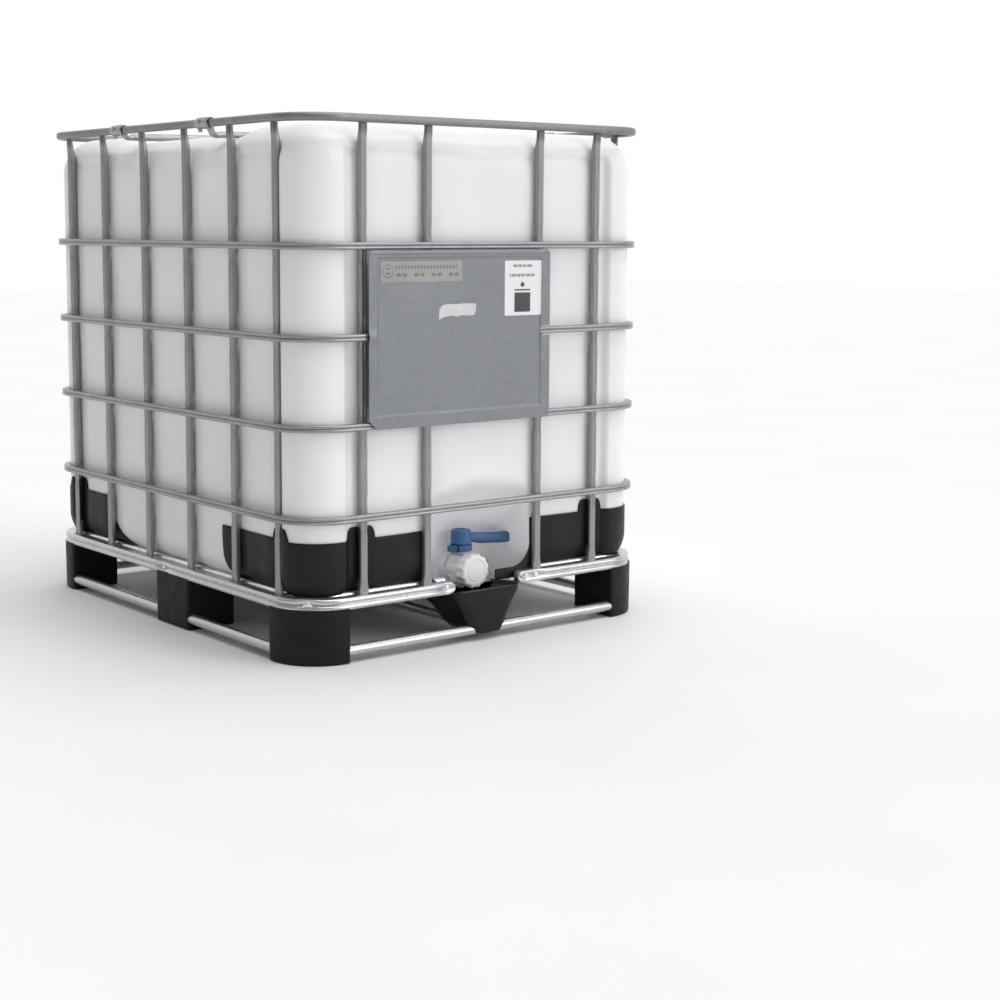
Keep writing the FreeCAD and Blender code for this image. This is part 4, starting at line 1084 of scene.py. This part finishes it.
def edge_points(corners, step=0.006):
    """Points spaced along a closed outline."""
    points = []
    for start, end in zip(corners, corners[1:] + corners[:1]):
        count = max(1, round(math.dist(start, end) / step))
        points += [(start[0] + (end[0] - start[0]) * part / count,
                    start[1] + (end[1] - start[1]) * part / count) for part in range(count)]
    return points


def mark(x0, x1, z0, z1, round_by, spaced=False):
    """A printed block on a card."""
    outline = rounded_box(x0, x1, z0, z1, round_by, 3)
    return card_sheet("mark", edge_points(outline) if spaced else outline, MARK_LIFT, thick=MARK_THICK)


def mark_row(low, high, start, end, narrow, growth, turns, gap, round_by, skip=False):
    """A row of blocks of changing width that stands for a printed line; turns = (factor, shift, cycle)."""
    factor, shift, cycle = turns
    blocks, place = [], start
    for step in range(60):
        wide = narrow + growth * ((step * factor + shift) % cycle)
        if place + wide > end:
            break
        if not (skip and step % 3 == 2):
            blocks.append(mark(place, place + wide, low, high, round_by))
        place += wide + gap
    return blocks


def make_cards():
    beige = card_sheet("rating_card", edge_points(rounded_box(-0.300, -0.082, 0.808, 0.852, 0.0015, 3)))
    finish_piece(beige, "frame", "card", BEIGE_CARD, "label_cards")
    white = card_sheet("white_card", edge_points(rounded_box(0.038, 0.143, 0.729, 0.851, 0.0015, 3)))
    finish_piece(white, "frame", "card", WHITE_CARD)
    torn = [(-0.146, 0.726), (-0.1445, 0.748), (-0.136, 0.757), (-0.120, 0.7592), (-0.098, 0.7585),
            (-0.070, 0.7595), (-0.046, 0.7588), (-0.0425, 0.7555), (-0.044, 0.744), (-0.047, 0.7335),
            (-0.060, 0.7325), (-0.082, 0.7340), (-0.096, 0.7315), (-0.112, 0.7335), (-0.128, 0.7318),
            (-0.140, 0.7330)]
    sticker = card_sheet("torn_sticker", edge_points(torn, 0.004), puff=0.0007)
    finish_piece(sticker, "frame", "card", TORN_CARD)

    arrow = [(0.089, 0.7915), (0.0975, 0.7985), (0.0925, 0.7985), (0.0925, 0.8035), (0.0855, 0.8035),
             (0.0855, 0.7985), (0.0805, 0.7985)]
    square = join("card_square_mark", [
        mark(0.066, 0.112, 0.737, 0.780, 0.0006, spaced=True),
        mark(0.066, 0.112, 0.7845, 0.7875, 0.0006, spaced=True),
        card_sheet("mark", edge_points(arrow, 0.003), MARK_LIFT, thick=MARK_THICK)])
    finish_piece(square, "frame", "card", DARK_INK)

    bars = mark_row(0.8155, 0.8215, 0.052, 0.132, 0.0035, 0.0030, (7, 0, 4), 0.0024, 0.0004)
    bars += mark_row(0.8365, 0.8425, 0.062, 0.122, 0.0035, 0.0030, (7, 3, 4), 0.0024, 0.0004)
    finish_piece(join("card_bar_marks", bars), "frame", "card", GREY_INK)

    faint = mark_row(0.8355, 0.8435, -0.262, -0.090, 0.004, 0.0035, (5, 0, 5), 0.0045, 0.0005)
    faint += mark_row(0.8200, 0.8268, -0.258, -0.088, 0.004, 0.0035, (5, 2, 5), 0.0045, 0.0005, skip=True)
    steps = 40
    ring = [(-0.281 + radius * math.cos(turn), 0.8315 + radius * math.sin(turn))
            for radius in (0.0145, 0.0128) for turn in turns(steps)]
    points = [(x, PLATE_FACE - float(plate_height(np.array(x), np.array(z))) - MARK_LIFT, z) for x, z in ring]
    faint.append(make_mesh("mark", points, grid_faces(2, steps, wrap_columns=True)))
    faint += [mark(-0.286, -0.276, z - 0.0018, z + 0.0018, 0.0008) for z in (0.8270, 0.8365)]
    finish_piece(join("card_faded_marks", faint), "frame", "card", FADED_INK)


# ---------------------------------------------------------------- filling lid

def fluted(count, depth, sharp, from_radius):
    """A radius factor that cuts evenly spaced hollows into the outer part of a turned shape."""
    def factor(turn, along, radius):
        if radius < from_radius:
            return 1
        hollow = (0.5 - 0.5 * math.cos(turn * count)) ** sharp
        return 1 - depth * hollow / radius
    return factor


def make_lid():
    low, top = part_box("fill_lid")[0].z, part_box("fill_lid")[1].z
    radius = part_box("fill_lid")[1].x
    profile = rounded_profile([
        (low, 0.0795), (low, radius - 0.001), (low + 0.003, radius), (top - 0.006, radius),
        (top, radius - 0.006), (top, 0.076), (top - 0.004, 0.072), (top - 0.004, 0.036), (top - 0.001, 0.033),
        (top - 0.001, 0.0)], 0.0015)
    rim = lathe("lid_rim", profile, (0, 0, 0), (0, 0, 1), 288, fluted(48, 0.0022, 1.5, radius - 0.004))
    pieces = [rim]
    for turn in turns(12):
        along = Vector((math.cos(turn), math.sin(turn), 0))
        across = Vector((-along.y, along.x, 0))
        stations = [(along * reach + Vector((0, 0, top - 0.004 + rise)), across, (0, 0, 1))
                    for reach, rise in ((0.034, 0.0), (0.036, 0.0015), (0.070, 0.0015), (0.0735, 0.0))]
        pieces.append(sweep("lid_rib", stations, oval_section(0.0022, 0.0017, 12)))
    plug = rounded_profile([
        (top - 0.002, 0.0), (top - 0.002, 0.024), (top - 0.0005, 0.0255), (top + 0.0015, 0.0255),
        (top + 0.0025, 0.0235), (top + 0.001, 0.018), (top + 0.001, 0.0)], 0.0008)
    pieces.append(lathe("lid_plug", plug, (0, 0, 0), (0, 0, 1), 96, fluted(16, 0.0012, 1.0, 0.0245)))
    whole = join("fill_lid_cap", pieces)
    finish_piece(whole, "fill_lid", "lid_plastic", LID_PLASTIC, "fill_lid")
    seal_low, seal_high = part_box("lid_seal")
    middle_z = (seal_low.z + seal_high.z) / 2
    profile = [(0.0700 + 0.0070 * a, middle_z + 0.0014 * b) for a, b in arc_points(0, 0, 1, 0, 360, 16)[:-1]]
    around = turns(96)
    points = [(reach * math.cos(turn), reach * math.sin(turn), z) for reach, z in profile for turn in around]
    faces = grid_faces(len(profile), len(around), wrap_rows=True, wrap_columns=True)
    seal = outward_mesh("lid_seal_ring", points, faces, math.radians(50))
    finish_piece(seal, "fill_seal", "seal_rubber", SEAL_RUBBER, "lid_seal")


# ---------------------------------------------------------------- outlet valve

def on_valve(name, profile, axis=(0, -1, 0), segments=72, wobble=None):
    """Turns a profile about the valve's outlet or its stem; places count from where the two cross."""
    return lathe(name, profile, (0, VALVE_Y, VALVE_Z), axis, segments, wobble)


def make_valve_body():
    """White housing: upright ribbed drum with a stub below, threaded spout in front and a tail behind."""
    drum = [(-0.0455, 0.0), (-0.0455, 0.0070), (-0.034, 0.0080), (-0.0335, 0.0180), (-0.031, 0.0235)]
    for level in np.linspace(-0.026, 0.022, 7):
        drum += [(level, 0.0258), (level + 0.0018, 0.0263), (level + 0.0046, 0.0263),
                 (level + 0.0062, 0.0258)]
    drum += [(0.0325, 0.0255), (0.0340, 0.0200), (0.0345, 0.0165), (0.0398, 0.0165), (0.0402, 0.0155),
             (0.0402, 0.0)]
    pieces = [on_valve("valve_drum", drum, (0, 0, 1))]
    barrel = rounded_profile([(-0.0250, 0.0), (-0.0250, 0.0265), (-0.0200, 0.0285), (0.0170, 0.0300),
                              (0.0225, 0.0320), (0.0235, 0.0300), (0.0245, 0.0283)], 0.002)
    thread = []
    for step in range(4):
        start = 0.0260 + step * 0.0056
        thread += [(start, 0.0283), (start + 0.0012, 0.0298), (start + 0.0026, 0.0298),
                   (start + 0.0038, 0.0283)]
    spout = [(0.0482, 0.0283), (0.0487, 0.0275), (0.0487, 0.0210), (0.0480, 0.0200), (0.020, 0.0200),
             (0.020, 0.0)]
    pieces.append(on_valve("valve_barrel", barrel + thread + spout))
    tail = [(-0.020, 0.0), (-0.020, 0.0268), (-0.0343, 0.0268), (-0.0347, 0.0262), (-0.0347, 0.0205),
            (-0.022, 0.0200), (-0.022, 0.0)]
    pieces.append(on_valve("valve_tail", tail))
    for turn in (35, 145, 215, 325):
        angle = math.radians(turn)
        along = Vector((math.cos(angle), 0, math.sin(angle)))
        across = Vector((-along.z, 0, along.x))
        crest = ((-0.024, 0.0265), (-0.019, 0.0290), (0.017, 0.0310), (0.022, 0.0300))
        stations = [(Vector((0, VALVE_Y - place, VALVE_Z)) + along * reach, across, along)
                    for place, reach in crest]
        pieces.append(sweep("valve_rib", stations, oval_section(0.0016, 0.0022, 12)))
    whole = join("valve_housing", pieces)
    finish_piece(whole, "frame", "valve_plastic", WHITE_PLASTIC, "valve_body")


def make_union_nut():
    low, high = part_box("union_nut")
    start, end = VALVE_Y - high.y, VALVE_Y - low.y
    radius = high.x - 0.002
    profile = [(start, 0.0280), (start, radius - 0.003), (start + 0.002, radius - 0.0008),
               (start + 0.004, radius), (end - 0.004, radius), (end - 0.002, radius - 0.0008),
               (end, radius - 0.003), (end, 0.0280)]
    nut = on_valve("union_nut_ring", profile, wobble=fluted(20, 0.0012, 2.0, radius - 0.004), segments=160)
    finish_piece(nut, "frame", "valve_plastic", WHITE_PLASTIC, "union_nut")


def make_collar():
    """Blue lock ring under the handle, with a slit tab on its left."""
    low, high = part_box("stem_collar")
    points = []
    segments, tab_at, slit_at, radius = 96, 200, 222, 0.0258
    levels = ((0.0, 0.0010), (0.0012, 0.0), (high.z - low.z - 0.0012, 0.0), (high.z - low.z, 0.0010))
    for rise, inset in levels:
        for step in range(segments):
            turn = 360 * step / segments
            tab = float(step_between(34 - abs(turn - tab_at), 0, 6))
            slit = 0.010 * math.exp(-((turn - slit_at) / 2.6) ** 4)
            reach = radius + (-low.x - radius) * tab - inset - slit
            angle = math.radians(turn)
            points.append((reach * math.cos(angle), VALVE_Y + reach * math.sin(angle), low.z + rise))
    collar = outward_mesh("lock_collar", points, tube_faces(len(levels), segments), math.radians(35))
    finish_piece(collar, "frame", "handle_plastic", BLUE_PLASTIC, "stem_collar")


def make_handle():
    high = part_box("valve_handle")[1]
    hub_low, hub_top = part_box("stem_collar")[1].z + 0.0003 - VALVE_Z, high.z - VALVE_Z
    hub = rounded_profile([
        (hub_low, 0.0), (hub_low, 0.0225), (hub_low + 0.003, 0.0238), (hub_top - 0.005, 0.0232),
        (hub_top - 0.0005, 0.0205), (hub_top - 0.0005, 0.0120), (hub_top - 0.0025, 0.0105),
        (hub_top - 0.0025, 0.0)], 0.0014)
    pieces = [on_valve("handle_hub", hub, (0, 0, 1), 64)]
    round_from, arm_z = high.x - 0.0135, 0.2155
    places = list(np.linspace(0.008, round_from, 28))
    places += list(round_from + (high.x - round_from) * np.sin(np.linspace(0, math.pi / 2, 9)[1:]))
    stations = []
    for place in places:
        middle_z = arm_z - 0.0070 * float(step_between(place, 0.020, 0.120))
        tall = 0.0118 + 0.0012 * float(step_between(place, 0.030, 0.058))
        tall -= 0.0008 * math.exp(-((place - 0.09) / 0.02) ** 2)
        middle_z += 0.0020 * (1 - float(step_between(place, 0.030, 0.050)))
        wide = 0.0138 * (1 - 0.18 * math.exp(-((place - 0.070) / 0.028) ** 2))
        if place > round_from:
            end = math.sqrt(max(0.004, 1 - ((place - round_from) / (high.x - round_from)) ** 2))
            wide, tall = wide * end, tall * (0.35 + 0.65 * end)
        stations.append(((place, VALVE_Y, middle_z), (0, 1, 0), (0, 0, 1),
                         oval_section(wide, tall, 28, 0.62)))
    pieces.append(sweep("handle_arm", stations, None, angle=math.radians(55)))
    whole = join("handle_lever", pieces)
    finish_piece(whole, "handle", "handle_plastic", BLUE_PLASTIC, "valve_handle")


def make_cap():
    """White dust cap with twelve lobes, a flat face and a shallow ring on it."""
    low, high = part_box("outlet_cap")
    start, end, radius = VALVE_Y - high.y, VALVE_Y - low.y, high.x
    profile = [(end - 0.0045, 0.0), (end - 0.0045, 0.0312), (start + 0.0005, 0.0312), (start, 0.0322),
               (start, 0.0362), (start + 0.0025, 0.0385), (start + 0.006, radius - 0.0004),
               (end - 0.006, radius), (end - 0.002, radius - 0.0012), (end - 0.0004, radius - 0.0040),
               (end, 0.0330), (end, 0.0272), (end - 0.0012, 0.0262), (end - 0.0012, 0.0238),
               (end - 0.0002, 0.0228), (end - 0.0002, 0.0)]
    cap = on_valve("dust_cap", profile, wobble=fluted(12, 0.0030, 0.8, 0.0345), segments=144)
    finish_piece(cap, "outlet_cap", "valve_plastic", CAP_PLASTIC, "outlet_cap")


# ---------------------------------------------------------------- floor, light and camera

def make_floor():
    bpy.ops.mesh.primitive_plane_add(size=40, location=(0, 0, 0))
    floor = bpy.context.active_object
    floor.name = "floor"
    material, nodes, links, shader = new_material("floor_paint")
    tone = patches(nodes, links, 1.5, 3, (0.3, grey(0.80)), (0.7, grey(0.83)))
    links.new(tone, shader.inputs["Base Color"])
    shader.inputs["Roughness"].default_value = 0.7
    floor.data.materials.append(material)


def sun_light(name, direction, strength, spread):
    """A soft distant light that shines from a direction."""
    data = bpy.data.lights.new(name, "SUN")
    data.energy, data.angle = strength, math.radians(spread)
    light = bpy.data.objects.new(name, data)
    light.rotation_euler = Vector(direction).to_track_quat("Z", "Y").to_euler()
    bpy.context.scene.collection.objects.link(light)


def make_light():
    """A bright backdrop behind the container, dimmer walls elsewhere, light from above and front right."""
    world = bpy.data.worlds.new("studio")
    bpy.context.scene.world = world
    world.use_nodes = True
    nodes, links = world.node_tree.nodes, world.node_tree.links
    place = nodes.new("ShaderNodeTexCoord")
    toward = nodes.new("ShaderNodeVectorMath")
    toward.operation = "DOT_PRODUCT"
    toward.inputs[1].default_value = (0.61, 0.79, 0.0)
    links.new(place.outputs["Generated"], toward.inputs[0])
    walls = ramp(nodes, links, toward.outputs["Value"], ((0.05, grey(0.36)), (0.55, grey(1.0))))
    links.new(walls.outputs["Color"], nodes["Background"].inputs["Color"])
    sun_light("top", (0.15, -0.2, 1), 1.7, 60)
    sun_light("key", (0.50, -0.82, 0.35), 0.9, 35)
    bpy.context.scene.view_settings.view_transform = "Standard"


def make_camera():
    place = (-2.4764, -3.6468, 0.9236)
    yaw, pitch, roll = 0.6599, 0.1248, 0.0031
    look = Vector((math.sin(yaw) * math.cos(pitch), math.cos(yaw) * math.cos(pitch), -math.sin(pitch)))
    level = Vector((math.cos(yaw), -math.sin(yaw), 0))
    raised = level.cross(look)
    right = level * math.cos(roll) + raised * math.sin(roll)
    up = raised * math.cos(roll) - level * math.sin(roll)
    data = bpy.data.cameras.new("camera")
    data.sensor_width = 36
    data.lens = 63.86
    data.shift_x, data.shift_y = 0.05, -0.05
    camera = bpy.data.objects.new("camera", data)
    turn = Matrix((right, up, -look)).transposed()
    camera.matrix_world = Matrix.Translation(place) @ turn.to_4x4()
    bpy.context.scene.collection.objects.link(camera)
    bpy.context.scene.camera = camera


# ---------------------------------------------------------------- the container and its setting

make_hoops()
make_rim()
make_uprights()
make_bottle()
for end, side_y, side_end, side_sweep in (("front", -1, 0.232, -0.05), ("back", 1, 0.308, 0.20)):
    for side, side_x in (("left", -1), ("right", 1)):
        make_protector(f"protector_{end}_{side}", side_x, side_y, side_end, side_sweep)
make_rail()
make_rail_screws()
make_pan()
make_skid()
make_feet()
make_hold_down_bar("hold_down_bar_front", 0.0095)
make_hold_down_bar("hold_down_bar_back", 0.0)
make_valve_guard()
make_plate()
make_cards()
make_lid()
make_valve_body()
make_union_nut()
make_collar()
make_handle()
make_cap()

KEPT = {"deck_beams": BRIGHT_ZINC, "valve_ball": WHITE_PLASTIC, "valve_stem": BLUE_PLASTIC,
        "cap_seal": SEAL_RUBBER}
for node, material in KEPT.items():
    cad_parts[node].data.materials.clear()
    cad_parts[node].data.materials.append(material)

make_floor()
make_light()
make_camera()
